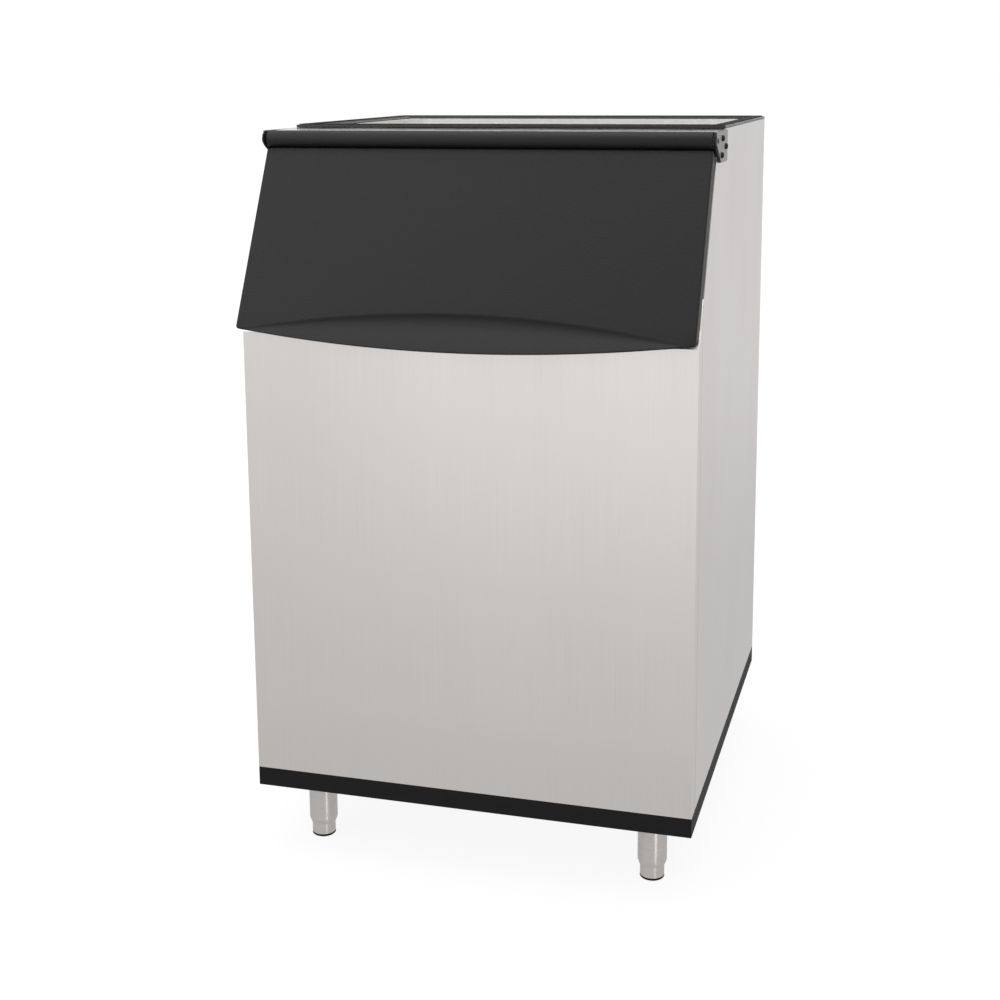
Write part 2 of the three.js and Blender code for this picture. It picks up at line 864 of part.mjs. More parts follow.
function plateOutline() {
  const front = hingeSetback - plateNoseFront;
  return [[front, ledgeHeight - hingePlateDrop], [front, hingeHeight - plateNoseDrop], ...hingeRear()];
}

function nutPlateOutline(grow) {
  const ys = screwHoleSeats.map(([y]) => y);
  const zs = screwHoleSeats.map(([, z]) => z);
  const margin = hingeNutPlateMargin + grow;
  const y0 = Math.min(...ys) - margin;
  const y1 = Math.max(...ys) + margin;
  const z0 = Math.min(...zs) - margin;
  const z1 = Math.max(...zs) + hingeNutPlateMargin / 2 + grow;
  return [[y0, z0], [y1, z0], [y1, z1], [y0, z1]];
}

function screwHoles(from, to) {
  return screwHoleSeats.map(([y, z]) => rod('x', screwShankRadius + seatGap, from, to, y, z));
}

const spacerFrom = halfWidth + seatGap;
const spacerTo = spacerFrom + hingeSpacerThickness;
const plateFrom = spacerTo + seatGap;
const plateTo = plateFrom + hingePlateThickness;

function hingePiece(outline, from, to) {
  const plate = alongX(outline, from, to);
  const holes = screwHoles(from - cutOverrun, to + cutOverrun);
  const pinHole = rod(
    'x', pinRadius + runningGap,
    from - cutOverrun, to + cutOverrun,
    hingeSetback, hingeHeight,
  );
  return cut(plate, ...holes, pinHole);
}

function hingeNutPlate() {
  const to = halfWidth - sheet - seatGap;
  const from = to - hingeNutPlateThickness;
  return cut(alongX(nutPlateOutline(0), from, to), ...screwHoles(from - cutOverrun, to + cutOverrun));
}

function hingeScrew([y, z]) {
  const head = plateTo + seatGap;
  const top = head + screwHeadHeight;
  const screw = turned([
    [0, halfWidth - screwReach],
    [screwShankRadius, halfWidth - screwReach],
    [screwShankRadius, head],
    [screwHeadRadius, head],
    [screwHeadRadius, top - screwHeadDome],
    [screwHeadRadius - screwHeadDome, top],
    [screwSocketRadius, top],
    [screwSocketRadius, top - screwSocketDepth],
    [0, top - screwSocketDepth],
  ], smallSides);
  return toSolid(toGeometry(screw).rotateY(Math.PI / 2).translate(0, y, z));
}

function hingePin() {
  return rod('x', pinRadius, halfWidth - pinReach, plateTo + pinProud, hingeSetback, hingeHeight);
}

// Hinge barrel in the slant's axes: a round tube with a leaf that runs down inside the door
function hingeBarrel() {
  const leafFront = barrelLeafStart - barrelLeafThickness;
  const round = arcPoints(0, 0, barrelRadius, 0, Math.PI * 2 * (1 - 1 / roundSides), roundSides - 1);
  const tube = alongX(round, -barrelHalfLength, barrelHalfLength);
  const reach = barrelHalfLength + cutOverrun;
  const bore = rod('x', barrelBore, -reach, reach, 0, 0, roundSides);
  const leafHalf = doorHalfWidth - doorWall - seatGap * 2;
  const leaf = block(-leafHalf, leafHalf, leafFront, barrelLeafStart, -barrelLeafLength, -barrelBore);
  const holes = doorScrewPlaces.map((x) => (
    rod('y', doorScrewShankRadius + seatGap, 0, barrelLeafStart + cutOverrun, x, -doorScrewDown)
  ));
  return cut(join(tube, leaf), bore, ...holes);
}

function barrelBushing() {
  const end = barrelHalfLength + seatGap + bushingFlange;
  const outer = barrelBore - runningGap;
  const inner = pinRadius + runningGap;
  const bushing = turned([
    [inner, barrelHalfLength - bushingLength],
    [outer, barrelHalfLength - bushingLength],
    [outer, barrelHalfLength + seatGap],
    [bushingFlangeRadius, barrelHalfLength + seatGap],
    [bushingFlangeRadius, end],
    [inner, end],
    [inner, barrelHalfLength - bushingLength],
  ]);
  return toSolid(toGeometry(bushing).rotateY(Math.PI / 2));
}

// Places across the door at which its skin is drawn, closer together at the rounded corners
function doorColumns() {
  const straight = doorHalfWidth - doorCornerRadius;
  const half = [];
  for (let bay = 0; bay < skinBays; bay += 1) {
    half.push((straight * bay) / skinBays);
  }
  for (let step = 0; step <= cornerSteps; step += 1) {
    const angle = (step / cornerSteps) * (Math.PI / 2);
    half.push(straight + doorCornerRadius * Math.sin(angle));
  }
  return [...half.slice(1).reverse().map((x) => -x), ...half];
}

// A curved layer of the door: depth behind the visible surface runs from near to far, both as functions
function doorLayer(near, far) {
  const columns = doorColumns();
  const rows = lipRows + 2;
  const vertices = [];
  const faces = [];
  for (const layer of [near, far]) {
    for (const x of columns) {
      for (let row = 0; row < rows; row += 1) {
        const crease = creaseDown(x);
        const share = (row - 1) / lipRows;
        const down = row === 0 ? doorTopReveal : crease + share * (doorEdgeDown(x) - crease);
        vertices.push(x, layer(x, down), -down);
      }
    }
  }
  const offset = columns.length * rows;
  const spot = (column, row, side) => side * offset + column * rows + row;
  const quad = (a, b, c, d) => faces.push(a, b, c, a, c, d);
  for (let column = 0; column < columns.length - 1; column += 1) {
    for (let row = 0; row < rows - 1; row += 1) {
      const next = column + 1;
      quad(spot(column, row, 0), spot(column, row + 1, 0), spot(next, row + 1, 0), spot(next, row, 0));
      quad(spot(column, row, 1), spot(next, row, 1), spot(next, row + 1, 1), spot(column, row + 1, 1));
    }
    quad(spot(column, 0, 0), spot(column + 1, 0, 0), spot(column + 1, 0, 1), spot(column, 0, 1));
    quad(
      spot(column, rows - 1, 0), spot(column, rows - 1, 1),
      spot(column + 1, rows - 1, 1), spot(column + 1, rows - 1, 0),
    );
  }
  const last = columns.length - 1;
  for (let row = 0; row < rows - 1; row += 1) {
    quad(spot(0, row, 0), spot(0, row, 1), spot(0, row + 1, 1), spot(0, row + 1, 0));
    quad(spot(last, row, 0), spot(last, row + 1, 0), spot(last, row + 1, 1), spot(last, row, 1));
  }
  const geometry = new THREE.BufferGeometry();
  geometry.setAttribute('position', new THREE.Float32BufferAttribute(vertices, 3));
  geometry.setIndex(faces);
  return toSolid(geometry);
}

function doorSurface(across, down) {
  return -lipOutward(across, down);
}

// Outer skin: the curved front with its lip, and a rim turned in round the sides and bottom
function doorOuterSkin() {
  const front = doorLayer(doorSurface, (x, down) => doorSurface(x, down) + doorSkin);
  const corner = doorCornerRadius;
  const rim = (inset) => {
    const across = doorHalfWidth - inset;
    const bottom = doorWallBottom - inset;
    const radius = corner - inset;
    const right = arcPoints(-bottom + radius, across - radius, radius, Math.PI / 2, Math.PI, cornerSteps);
    const left = arcPoints(-bottom + radius, -across + radius, radius, Math.PI, Math.PI * 1.5, cornerSteps);
    return [[-doorTopReveal, across], ...right, ...left, [-doorTopReveal, -across]];
  };
  const wall = alongY([...rim(0), ...rim(doorWall).reverse()], doorSkin / 2, doorThickness - seatGap);
  const before = doorLayer(
    (x, down) => doorSurface(x, down) - cutBeyondFace,
    (x, down) => doorSurface(x, down) + doorSkin / 2,
  );
  return join(cut(wall, before), front);
}

function doorInnerSkin() {
  const across = doorHalfWidth - doorWall - seatGap;
  const top = doorTopReveal + doorWall;
  const bottom = doorWallBottom - doorWall - seatGap;
  const corner = doorCornerRadius - doorWall;
  const face = roundedRectangle(-bottom, -top, -across, across, corner);
  const plate = alongY(face, doorThickness - innerSkin, doorThickness);
  const plug = block(
    -plugHalfWidth, plugHalfWidth,
    doorThickness - innerSkin / 2, doorThickness + plugRise,
    -plugBottom, -plugTop,
  );
  const hollow = block(
    -plugHalfWidth + innerSkin, plugHalfWidth - innerSkin,
    0, doorThickness + plugRise - innerSkin,
    -plugBottom + innerSkin, -plugTop - innerSkin,
  );
  const holes = doorScrewPlaces.map((x) => (
    rod('y', doorScrewShankRadius + seatGap, 0, doorThickness + cutOverrun, x, -doorScrewDown)
  ));
  return cut(join(plate, plug), hollow, ...holes);
}

function doorFoam() {
  const across = doorHalfWidth - doorWall - seatGap * 2;
  const bottom = doorWallBottom - doorWall - seatGap * 2;
  const body = block(
    -across, across,
    doorSkin + seatGap, doorThickness - innerSkin - seatGap,
    -bottom, -doorTopReveal,
  );
  const plug = block(
    -plugHalfWidth + innerSkin + seatGap, plugHalfWidth - innerSkin - seatGap,
    doorThickness / 2, doorThickness + plugRise - innerSkin - seatGap,
    -plugBottom + innerSkin + seatGap, -plugTop - innerSkin - seatGap,
  );
  const before = doorLayer(
    (x, down) => doorSurface(x, down) - cutBeyondFace,
    (x, down) => doorSurface(x, down) + doorSkin + seatGap,
  );
  const leafRoom = block(
    -barrelHalfLength - seatGap, barrelHalfLength + seatGap,
    0, barrelLeafStart + seatGap,
    -barrelLeafLength - seatGap, 0,
  );
  const cornerRoom = doorCornerRadius;
  const corners = [-1, 1].map((side) => block(
    side > 0 ? across - cornerRoom : -across - cutOverrun,
    side > 0 ? across + cutOverrun : -across + cornerRoom,
    0, doorThickness,
    -bottom - cutOverrun, -bottom + cornerRoom,
  ));
  const holes = doorScrewPlaces.map((x) => (
    rod('y', doorScrewShankRadius + seatGap, 0, doorThickness + cutOverrun, x, -doorScrewDown)
  ));
  return cut(join(body, plug), before, leafRoom, ...corners, ...holes);
}

function doorScrew(across) {
  const head = doorThickness + seatGap;
  const screw = turned([
    [0, doorScrewTip],
    [doorScrewShankRadius, doorScrewTip],
    [doorScrewShankRadius, head],
    [doorScrewHeadRadius, head],
    [doorScrewHeadRadius - doorScrewHeadHeight / 3, head + doorScrewHeadHeight],
    [0, head + doorScrewHeadHeight],
  ], smallSides);
  return toSolid(toGeometry(screw).rotateX(-Math.PI / 2).translate(across, 0, -doorScrewDown));
}

function doorBumper(across) {
  return rod('y', bumperRadius, doorThickness + seatGap, faceDepth - seatGap, across, -bumperDown);
}

// Ice baffle: hangs from the header inside the opening and leans back into the bin
function iceBaffle() {
  const face = faceDepth + innerInset + seatGap;
  const path = [
    [face, -baffleTop],
    [face, -baffleBend],
    [face + baffleLean, -baffleBottom],
  ];
  const plate = alongX(bentSheet(path, baffleSheet), -baffleHalfWidth, baffleHalfWidth);
  const holes = thumbScrewPlaces().map((x) => (
    rod('y', thumbScrewShankRadius + seatGap, 0, face + cutOverrun, x, -thumbScrewDown)
  ));
  return cut(plate, ...holes);
}

function thumbScrew(across) {
  const face = faceDepth + innerInset + seatGap + baffleSheet + seatGap;
  const screw = turned([
    [0, faceDepth + innerInset - thumbScrewReach],
    [thumbScrewShankRadius, faceDepth + innerInset - thumbScrewReach],
    [thumbScrewShankRadius, face],
    [thumbScrewKnobRadius * thumbScrewFaceShare, face],
    [thumbScrewKnobRadius, face + thumbScrewKnobHeight / 3],
    [thumbScrewKnobRadius, face + thumbScrewKnobHeight],
    [0, face + thumbScrewKnobHeight],
  ], smallSides);
  return toSolid(toGeometry(screw).rotateX(-Math.PI / 2).translate(across, 0, -thumbScrewDown));
}

// Drain parts, turned about an axis that runs from the sump to the back panel
function placeDrain(solid) {
  return toSolid(toGeometry(solid).rotateX(-Math.PI / 2).translate(0, 0, drainHeight));
}

function drainFitting() {
  const wall = cabinetDepth - innerInset - seatGap;
  return placeDrain(turned([
    [drainBore, wall - drainFlangeThickness],
    [drainFlangeRadius, wall - drainFlangeThickness],
    [drainFlangeRadius, wall],
    [drainTube, wall],
    [drainTube, cabinetDepth - sheet / 2],
    [drainBore, cabinetDepth - sheet / 2],
    [drainBore, wall - drainFlangeThickness],
  ]));
}

function drainNut() {
  const from = cabinetDepth - insulation + seatGap;
  const nut = new THREE.CylinderGeometry(drainNutRadius, drainNutRadius, drainNutHeight, hexSides);
  const hex = toSolid(nut.translate(0, from + drainNutHeight / 2, drainHeight));
  return cut(hex, rod('y', drainTube + runningGap, 0, cabinetDepth, 0, drainHeight, roundSides));
}

function drainStrainer() {
  const face = cabinetDepth - innerInset - seatGap * 2 - drainFlangeThickness;
  const neck = drainBore - seatGap;
  const disc = placeDrain(turned([
    [0, face - strainerThickness],
    [strainerRadius, face - strainerThickness],
    [strainerRadius, face],
    [neck, face],
    [neck, face + strainerNeckLength],
    [neck - strainerNeckWall, face + strainerNeckLength],
    [neck - strainerNeckWall, face],
    [0, face],
  ]));
  const pitch = (neck * 2) / strainerSlots;
  const slots = [];
  for (let slot = 0; slot < strainerSlots; slot += 1) {
    const x = pitch * (slot - (strainerSlots - 1) / 2);
    const room = (neck - strainerNeckWall) ** 2 - Math.min(x ** 2, neck ** 2 / 2);
    const reach = Math.sqrt(room) * strainerSlotLengthShare;
    slots.push(block(
      x - strainerSlotWidth / 2, x + strainerSlotWidth / 2,
      face - strainerThickness - cutOverrun, face + seatGap,
      drainHeight - reach, drainHeight + reach,
    ));
  }
  return cut(disc, ...slots);
}

// Assembly
addPiece(cabinet, 'front_panel', frontPanel(), steel);
addPiece(cabinet, 'right_side_panel', sidePanel(), steel);
addPiece(cabinet, 'left_side_panel', mirrored(sidePanel()), steel);
addPiece(cabinet, 'back_panel', backPanel(), plainSteel);
addPiece(cabinet, 'top_ledge', topLedge(), steel);
addPiece(cabinet, 'base_trim', baseTrim(), blackPlastic);
addPiece(cabinet, 'bottom_pan', bottomPan(), plainSteel);
addPiece(cabinet, 'foam_insulation', foamBody(), paleFoam);
addPiece(cabinet, 'liner', linerTub(), whitePlastic);
addPiece(cabinet, 'top_rim', topRim(), blackPlastic);
addPiece(cabinet, 'top_seal', topSeal(), blackRubber);
addPiece(slant, 'door_frame', doorFrame(), blackPlastic);
addPiece(slant, 'ice_baffle', iceBaffle(), whitePlastic);
addPiece(slant, 'left_thumb_screw', thumbScrew(-thumbScrewAcross), blackPlastic);
addPiece(slant, 'right_thumb_screw', thumbScrew(thumbScrewAcross), blackPlastic);
addPiece(slant, 'left_door_bumper', doorBumper(-bumperAcross), blackRubber);
addPiece(slant, 'right_door_bumper', doorBumper(bumperAcross), blackRubber);
addPiece(cabinet, 'drain_fitting', drainFitting(), blackPlastic);
addPiece(cabinet, 'drain_nut', drainNut(), blackPlastic);
addPiece(cabinet, 'drain_strainer', drainStrainer(), whitePlastic);

for (const [side, flip] of [['right', (solid) => solid], ['left', mirrored]]) {
  const spacer = flip(hingePiece(spacerOutline(), spacerFrom, spacerTo));
  addPiece(cabinet, `${side}_hinge_spacer`, spacer, blackPlastic);
  addPiece(cabinet, `${side}_hinge_plate`, flip(hingePiece(plateOutline(), plateFrom, plateTo)), steel);
  addPiece(cabinet, `${side}_hinge_nut_plate`, flip(hingeNutPlate()), plainSteel);
  addPiece(cabinet, `${side}_hinge_pin`, flip(hingePin()), blackScrew);
  screwHoleSeats.forEach((seat, i) => {
    addPiece(cabinet, `${side}_hinge_screw_${i + 1}`, flip(hingeScrew(seat)), blackScrew);
  });
  addPiece(slant, `${side}_barrel_bushing`, flip(barrelBushing()), whitePlastic);
}

addPiece(slant, 'hinge_barrel', hingeBarrel(), grainedPlastic);
addPiece(slant, 'door_outer_skin', doorOuterSkin(), grainedPlastic);
addPiece(slant, 'door_inner_skin', doorInnerSkin(), blackPlastic);
addPiece(slant, 'door_foam', doorFoam(), paleFoam);
doorScrewPlaces.forEach((across, i) => {
  addPiece(slant, `door_screw_${i + 1}`, doorScrew(across), plainSteel);
});

for (const [place, x, y] of legPlaces) {
  const leg = new THREE.Group();
  leg.position.set(x, y, 0);
  cabinet.add(leg);
  addPiece(leg, `${place}_leg_socket`, legSocket(), plainSteel);
  addPiece(leg, `${place}_leg_tube`, legTube(), steel);
  addPiece(leg, `${place}_foot`, screwFoot(), steel);
  addPiece(leg, `${place}_foot_pad`, footPad(), blackRubber);
}

export default bin;
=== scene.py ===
import json
import math

import bmesh
import bpy
from mathutils import Matrix, Vector

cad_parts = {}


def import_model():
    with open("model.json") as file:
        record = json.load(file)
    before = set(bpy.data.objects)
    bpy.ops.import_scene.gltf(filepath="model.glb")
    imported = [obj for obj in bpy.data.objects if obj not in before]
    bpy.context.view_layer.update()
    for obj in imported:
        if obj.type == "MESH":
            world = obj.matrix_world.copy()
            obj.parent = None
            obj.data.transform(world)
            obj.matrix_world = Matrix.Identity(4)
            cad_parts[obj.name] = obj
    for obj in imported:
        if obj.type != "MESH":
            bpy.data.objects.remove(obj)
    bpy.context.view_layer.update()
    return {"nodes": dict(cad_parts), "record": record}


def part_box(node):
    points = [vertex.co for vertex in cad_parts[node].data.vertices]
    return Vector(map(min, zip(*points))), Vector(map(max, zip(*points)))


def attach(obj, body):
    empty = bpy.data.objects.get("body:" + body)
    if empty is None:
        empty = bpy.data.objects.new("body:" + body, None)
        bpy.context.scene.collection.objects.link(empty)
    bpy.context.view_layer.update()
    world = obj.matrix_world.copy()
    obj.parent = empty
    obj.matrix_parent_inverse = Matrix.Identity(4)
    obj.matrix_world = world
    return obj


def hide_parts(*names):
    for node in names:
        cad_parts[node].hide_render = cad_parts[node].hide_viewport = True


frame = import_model()

# Sizes of the bin in millimetres, as its solids have them
MM = 0.001
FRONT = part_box("front_panel")[0].y / MM
HALF_WIDTH = 381
PANEL_BOTTOM = 158.3
SHEET = 1.2
HINGE_BACK = 127
HINGE_HEIGHT = 1243
SLANT = math.radians(27.8)
FACE_DEPTH = 33
SINE, COSINE = math.sin(SLANT), math.cos(SLANT)
SLANT_END = (HINGE_BACK + COSINE * FACE_DEPTH) / SINE
BREAK_HEIGHT = HINGE_HEIGHT - COSINE * SLANT_END - SINE * FACE_DEPTH

CABINET = Matrix.Translation((0, FRONT, 0))
DOOR = Matrix.Translation((0, FRONT + HINGE_BACK, HINGE_HEIGHT)) @ Matrix.Rotation(-SLANT, 4, "X")
HINGE = Matrix.Translation((0, FRONT + HINGE_BACK, HINGE_HEIGHT))


def linear(colour):
    """An sRGB hex colour as the linear colour that a shader socket takes"""
    parts = [int(colour[i:i + 2], 16) / 255 for i in (1, 3, 5)]
    return [p / 12.92 if p <= 0.04045 else ((p + 0.055) / 1.055) ** 2.4 for p in parts] + [1.0]


def node(tree, kind, settings=None, values=None, links=None):
    """Adds a shader node with its settings, socket values and links"""
    made = tree.nodes.new(kind)
    for key, value in (settings or {}).items():
        setattr(made, key, value)
    for key, value in (values or {}).items():
        made.inputs[key].default_value = value
    for key, source in (links or {}).items():
        tree.links.new(source, made.inputs[key])
    return made


def material(name, colour, roughness, metallic=0.0, **sockets):
    """A material with its plain values on the shader's own sockets"""
    made = bpy.data.materials.new(name)
    made.use_nodes = True
    tree = made.node_tree
    shader = tree.nodes["Principled BSDF"]
    shader.inputs["Base Color"].default_value = linear(colour)
    shader.inputs["Roughness"].default_value = roughness
    shader.inputs["Metallic"].default_value = metallic
    for key, value in sockets.items():
        shader.inputs[key.replace("_", " ")].default_value = value
    made.diffuse_color = linear(colour)
    return made, tree, shader


def pattern(tree, size, detail=2.0, cells=False):
    """A pattern whose grains measure size, in millimetres along x, y and z"""
    place = node(tree, "ShaderNodeTexCoord")
    stretch = node(
        tree, "ShaderNodeMapping",
        values={"Scale": [1 / (s * MM) for s in size]},
        links={"Vector": place.outputs["Object"]},
    )
    if cells:
        made = node(
            tree, "ShaderNodeTexVoronoi", {"feature": "SMOOTH_F1"},
            {"Scale": 1.0, "Smoothness": 0.6}, {"Vector": stretch.outputs[0]},
        )
        return made.outputs["Distance"]
    made = node(
        tree, "ShaderNodeTexNoise", None,
        {"Scale": 1.0, "Detail": detail, "Roughness": 0.55}, {"Vector": stretch.outputs[0]},
    )
    return made.outputs["Fac"]


def vary(tree, shader, source, colours=None, roughness=None, bump=0.0, window=(0.3, 0.7)):
    """Lets a pattern change a shader's colour, roughness and relief (bump in millimetres)"""
    share = node(
        tree, "ShaderNodeMapRange", {"clamp": True},
        {"From Min": window[0], "From Max": window[1]}, {"Value": source},
    ).outputs[0]
    if colours:
        # sockets 0, 6 and 7 are the mix's share and its two colours
        mix = node(
            tree, "ShaderNodeMix", {"data_type": "RGBA"},
            {6: linear(colours[0]), 7: linear(colours[1])}, {0: share},
        )
        tree.links.new(mix.outputs[2], shader.inputs["Base Color"])
    if roughness:
        spread = node(
            tree, "ShaderNodeMapRange", None,
            {"To Min": roughness[0], "To Max": roughness[1]}, {"Value": share},
        )
        tree.links.new(spread.outputs[0], shader.inputs["Roughness"])
    if bump:
        relief = node(
            tree, "ShaderNodeBump", None,
            {"Strength": 1.0, "Distance": bump * MM}, {"Height": share},
        )
        socket = shader.inputs["Normal"]
        if socket.is_linked:
            tree.links.new(socket.links[0].from_socket, relief.inputs["Normal"])
        tree.links.new(relief.outputs[0], socket)


# Brushed stainless sheet with an upright grain: long fine streaks and a soft, slightly wavy sheen
def brushed_stainless():
    made, tree, shader = material("brushed_stainless_sheet", "#E2DEDC", 0.32, 1.0)
    # real grain lines are 0.1 mm wide; drawn at 1.6 mm so that they show
    vary(tree, shader, pattern(tree, (1.6, 1.6, 260), 3.0), ("#E0DCD9", "#E4E0DE"), bump=0.001)
    vary(tree, shader, pattern(tree, (150, 150, 420), 2.0), roughness=(0.29, 0.36), bump=0.06)
    return made


# Bright-rolled stainless sheet, not brushed: it mirrors what stands on it a little softly
def bright_stainless():
    made, tree, shader = material("bright_rolled_stainless_sheet", "#E2DEDC", 0.13, 1.0)
    vary(tree, shader, pattern(tree, (90, 30, 30), 2.0), ("#DFDBD8", "#E5E1DF"), (0.11, 0.17), 0.02)
    return made


# Stainless tube, ground round its axis: narrow rings of grain and a bright streak down its length
def ground_tube():
    made, tree, shader = material(
        "ground_stainless_tube", "#CFCBC8", 0.3, 1.0, Anisotropic=0.9, Anisotropic_Rotation=0.25,
    )
    round_axis = node(tree, "ShaderNodeTangent", {"direction_type": "RADIAL", "axis": "Z"})
    tree.links.new(round_axis.outputs[0], shader.inputs["Tangent"])
    # real grinding rings are 0.1 mm apart; drawn at 1.5 mm, and only as a faint change of tone
    vary(tree, shader, pattern(tree, (60, 60, 1.5), 2.0), ("#CAC6C3", "#D4D0CD"))
    vary(tree, shader, pattern(tree, (14, 14, 14), 3.0), roughness=(0.26, 0.34))
    return made


# Stainless plate, tumbled after it was cut: an even, duller grey with small blotches
def tumbled_plate():
    made, tree, shader = material("tumbled_stainless_plate", "#9B9996", 0.42, 1.0)
    vary(tree, shader, pattern(tree, (2.5, 2.5, 2.5), 3.0), ("#8F8D8A", "#A6A4A1"), (0.36, 0.5), 0.02)
    return made


# Galvanised steel: a grey zinc coat with faint crystals
def galvanised():
    made, tree, shader = material("galvanised_steel", "#A9ACAD", 0.45, 0.9)
    vary(tree, shader, pattern(tree, (14, 14, 14), cells=True), ("#A5A8A9", "#B0B3B3"), (0.42, 0.5))
    return made


# Black oxide on turned or cold-headed steel: dark with a dull gloss
def black_oxide():
    made, tree, shader = material("black_oxide_steel", "#1D1D1D", 0.42, 0.7)
    vary(tree, shader, pattern(tree, (1.5, 1.5, 1.5), 3.0), ("#171717", "#262626"), (0.34, 0.5), 0.01)
    return made


# Moulded ABS with a leather grain: small soft pebbles that break up the light
def grained_abs():
    made, tree, shader = material("grained_abs", "#101010", 0.48, IOR=1.5, Specular_IOR_Level=0.3)
    # real pebbles are about 1 mm; drawn at 2.5 to 5 mm so that they show
    vary(tree, shader, pattern(tree, (5, 2.5, 2.5), 4.0), ("#0B0B0B", "#151515"), (0.42, 0.54), 0.16)
    vary(tree, shader, pattern(tree, (4, 4, 4), cells=True), bump=0.1, window=(0.1, 0.7))
    return made


# Extruded black ABS: a plain satin black with faint draw lines
def plain_abs():
    made, tree, shader = material("satin_black_abs", "#161616", 0.6, IOR=1.5, Specular_IOR_Level=0.18)
    vary(tree, shader, pattern(tree, (40, 40, 2.5), 2.0), ("#131313", "#191919"), (0.55, 0.66), 0.015)
    return made


# Extruded black ABS from a polished die: smoother, so that it greys where it is seen at a low angle
def glossy_abs():
    made, tree, shader = material("glossy_black_abs", "#101010", 0.28, IOR=1.5, Specular_IOR_Level=0.5)
    vary(tree, shader, pattern(tree, (40, 40, 2.5), 2.0), ("#0C0C0C", "#131313"), (0.24, 0.34), 0.01)
    return made


# Rotomoulded polyethylene: milky white, waxy, with a slight orange-peel surface
def white_polyethylene():
    made, tree, shader = material("white_polyethylene", "#F3F1ED", 0.42, IOR=1.51)
    vary(tree, shader, pattern(tree, (9, 9, 9), 2.0), ("#F0EDE8", "#F6F4F1"), (0.38, 0.5), 0.05)
    return made


# Moulded nitrile rubber: matt black with a fine dusty bloom
def black_rubber():
    made, tree, shader = material("black_nitrile_rubber", "#0C0C0C", 0.8, IOR=1.52, Specular_IOR_Level=0.3)
    vary(tree, shader, pattern(tree, (2, 2, 2), 3.0), ("#090909", "#121212"), (0.72, 0.9), 0.03)
    return made


# Foamed-in-place polyurethane: pale yellow with open cells
def polyurethane_foam():
    made, tree, shader = material("polyurethane_foam", "#E2D3A4", 0.95)
    vary(tree, shader, pattern(tree, (3, 3, 3), cells=True), ("#D8C792", "#EADDB4"), bump=0.6)
    return made


STAINLESS = brushed_stainless()
BRIGHT = bright_stainless()
TUBE = ground_tube()
PLATE = tumbled_plate()
ZINC = galvanised()
OXIDE = black_oxide()
GRAINED = grained_abs()
BLACK = plain_abs()
GLOSSY = glossy_abs()
WHITE = white_polyethylene()
RUBBER = black_rubber()
FOAM = polyurethane_foam()

FINISH_OF_SLOT = {
    "stainless_steel": STAINLESS,
    "galvanised_steel": ZINC,
    "black_steel": OXIDE,
    "black_plastic": BLACK,
    "grained_plastic": GRAINED,
    "white_plastic": WHITE,
    "black_rubber": RUBBER,
    "foam": FOAM,
}
SLOT_OF_NODE = {row["node"]: row["material_slot"] for row in frame["record"]["subparts"]}

# How meshes are made, in millimetres and degrees: a length under TINY is none, points within SAME_PLACE are
# one, faces that meet at more than the crease angle show an edge, and a rounded corner takes at most
# MOST_OF_SIDE_SHARE of the shorter side next to it
TINY = 1e-6
SAME_PLACE = 0.001
CREASE_ANGLE = 32
SHEET_CREASE_ANGLE = 40
MOST_OF_SIDE_SHARE = 0.49


def shaded(obj, angle):
    """Smooth shading with creases where faces meet at more than angle degrees"""
    obj.data.polygons.foreach_set("use_smooth", [True] * len(obj.data.polygons))
    obj.data.set_sharp_from_angle(angle=math.radians(angle))


def made_piece(name, bm, body, node_name, finish, angle=CREASE_ANGLE):
    """A new piece from a mesh in millimetres that stands for a CAD node"""
    bmesh.ops.remove_doubles(bm, verts=bm.verts, dist=SAME_PLACE)
    bmesh.ops.recalc_face_normals(bm, faces=bm.faces)
    bmesh.ops.scale(bm, vec=(MM, MM, MM), verts=bm.verts)
    mesh = bpy.data.meshes.new(name)
    bm.to_mesh(mesh)
    bm.free()
    obj = bpy.data.objects.new(name, mesh)
    bpy.context.scene.collection.objects.link(obj)
    mesh.materials.append(finish)
    shaded(obj, angle)
    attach(obj, body)
    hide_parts(node_name)
    return obj


def rounded(points, closed=False, steps=5):
    """A profile of (u, v, corner radius) with its corners turned into arcs; a closed one ends at its start"""
    result = []
    count = len(points)
    for i, (u, v, radius) in enumerate(points):
        if not radius or (not closed and i in (0, count - 1)):
            result.append((u, v))
            continue
        here = Vector((u, v))
        before = Vector(points[i - 1][:2]) - here
        after = Vector(points[(i + 1) % count][:2]) - here
        half = before.angle(after) / 2
        shorter = min(before.length, after.length)
        reach = min(radius / math.tan(half), shorter * MOST_OF_SIDE_SHARE)
        radius = reach * math.tan(half)
        start = here + before.normalized() * reach
        end = here + after.normalized() * reach
        inward = (before.normalized() + after.normalized()).normalized()
        middle = here + inward * (radius / math.sin(half))
        first, last = start - middle, end - middle
        sweep = first.angle(last)
        for step in range(steps + 1):
            share = step / steps
            low = math.sin((1 - share) * sweep) / math.sin(sweep)
            high = math.sin(share * sweep) / math.sin(sweep)
            place = middle + first * low + last * high
            result.append((place.x, place.y))
    return result + result[:1] if closed else result


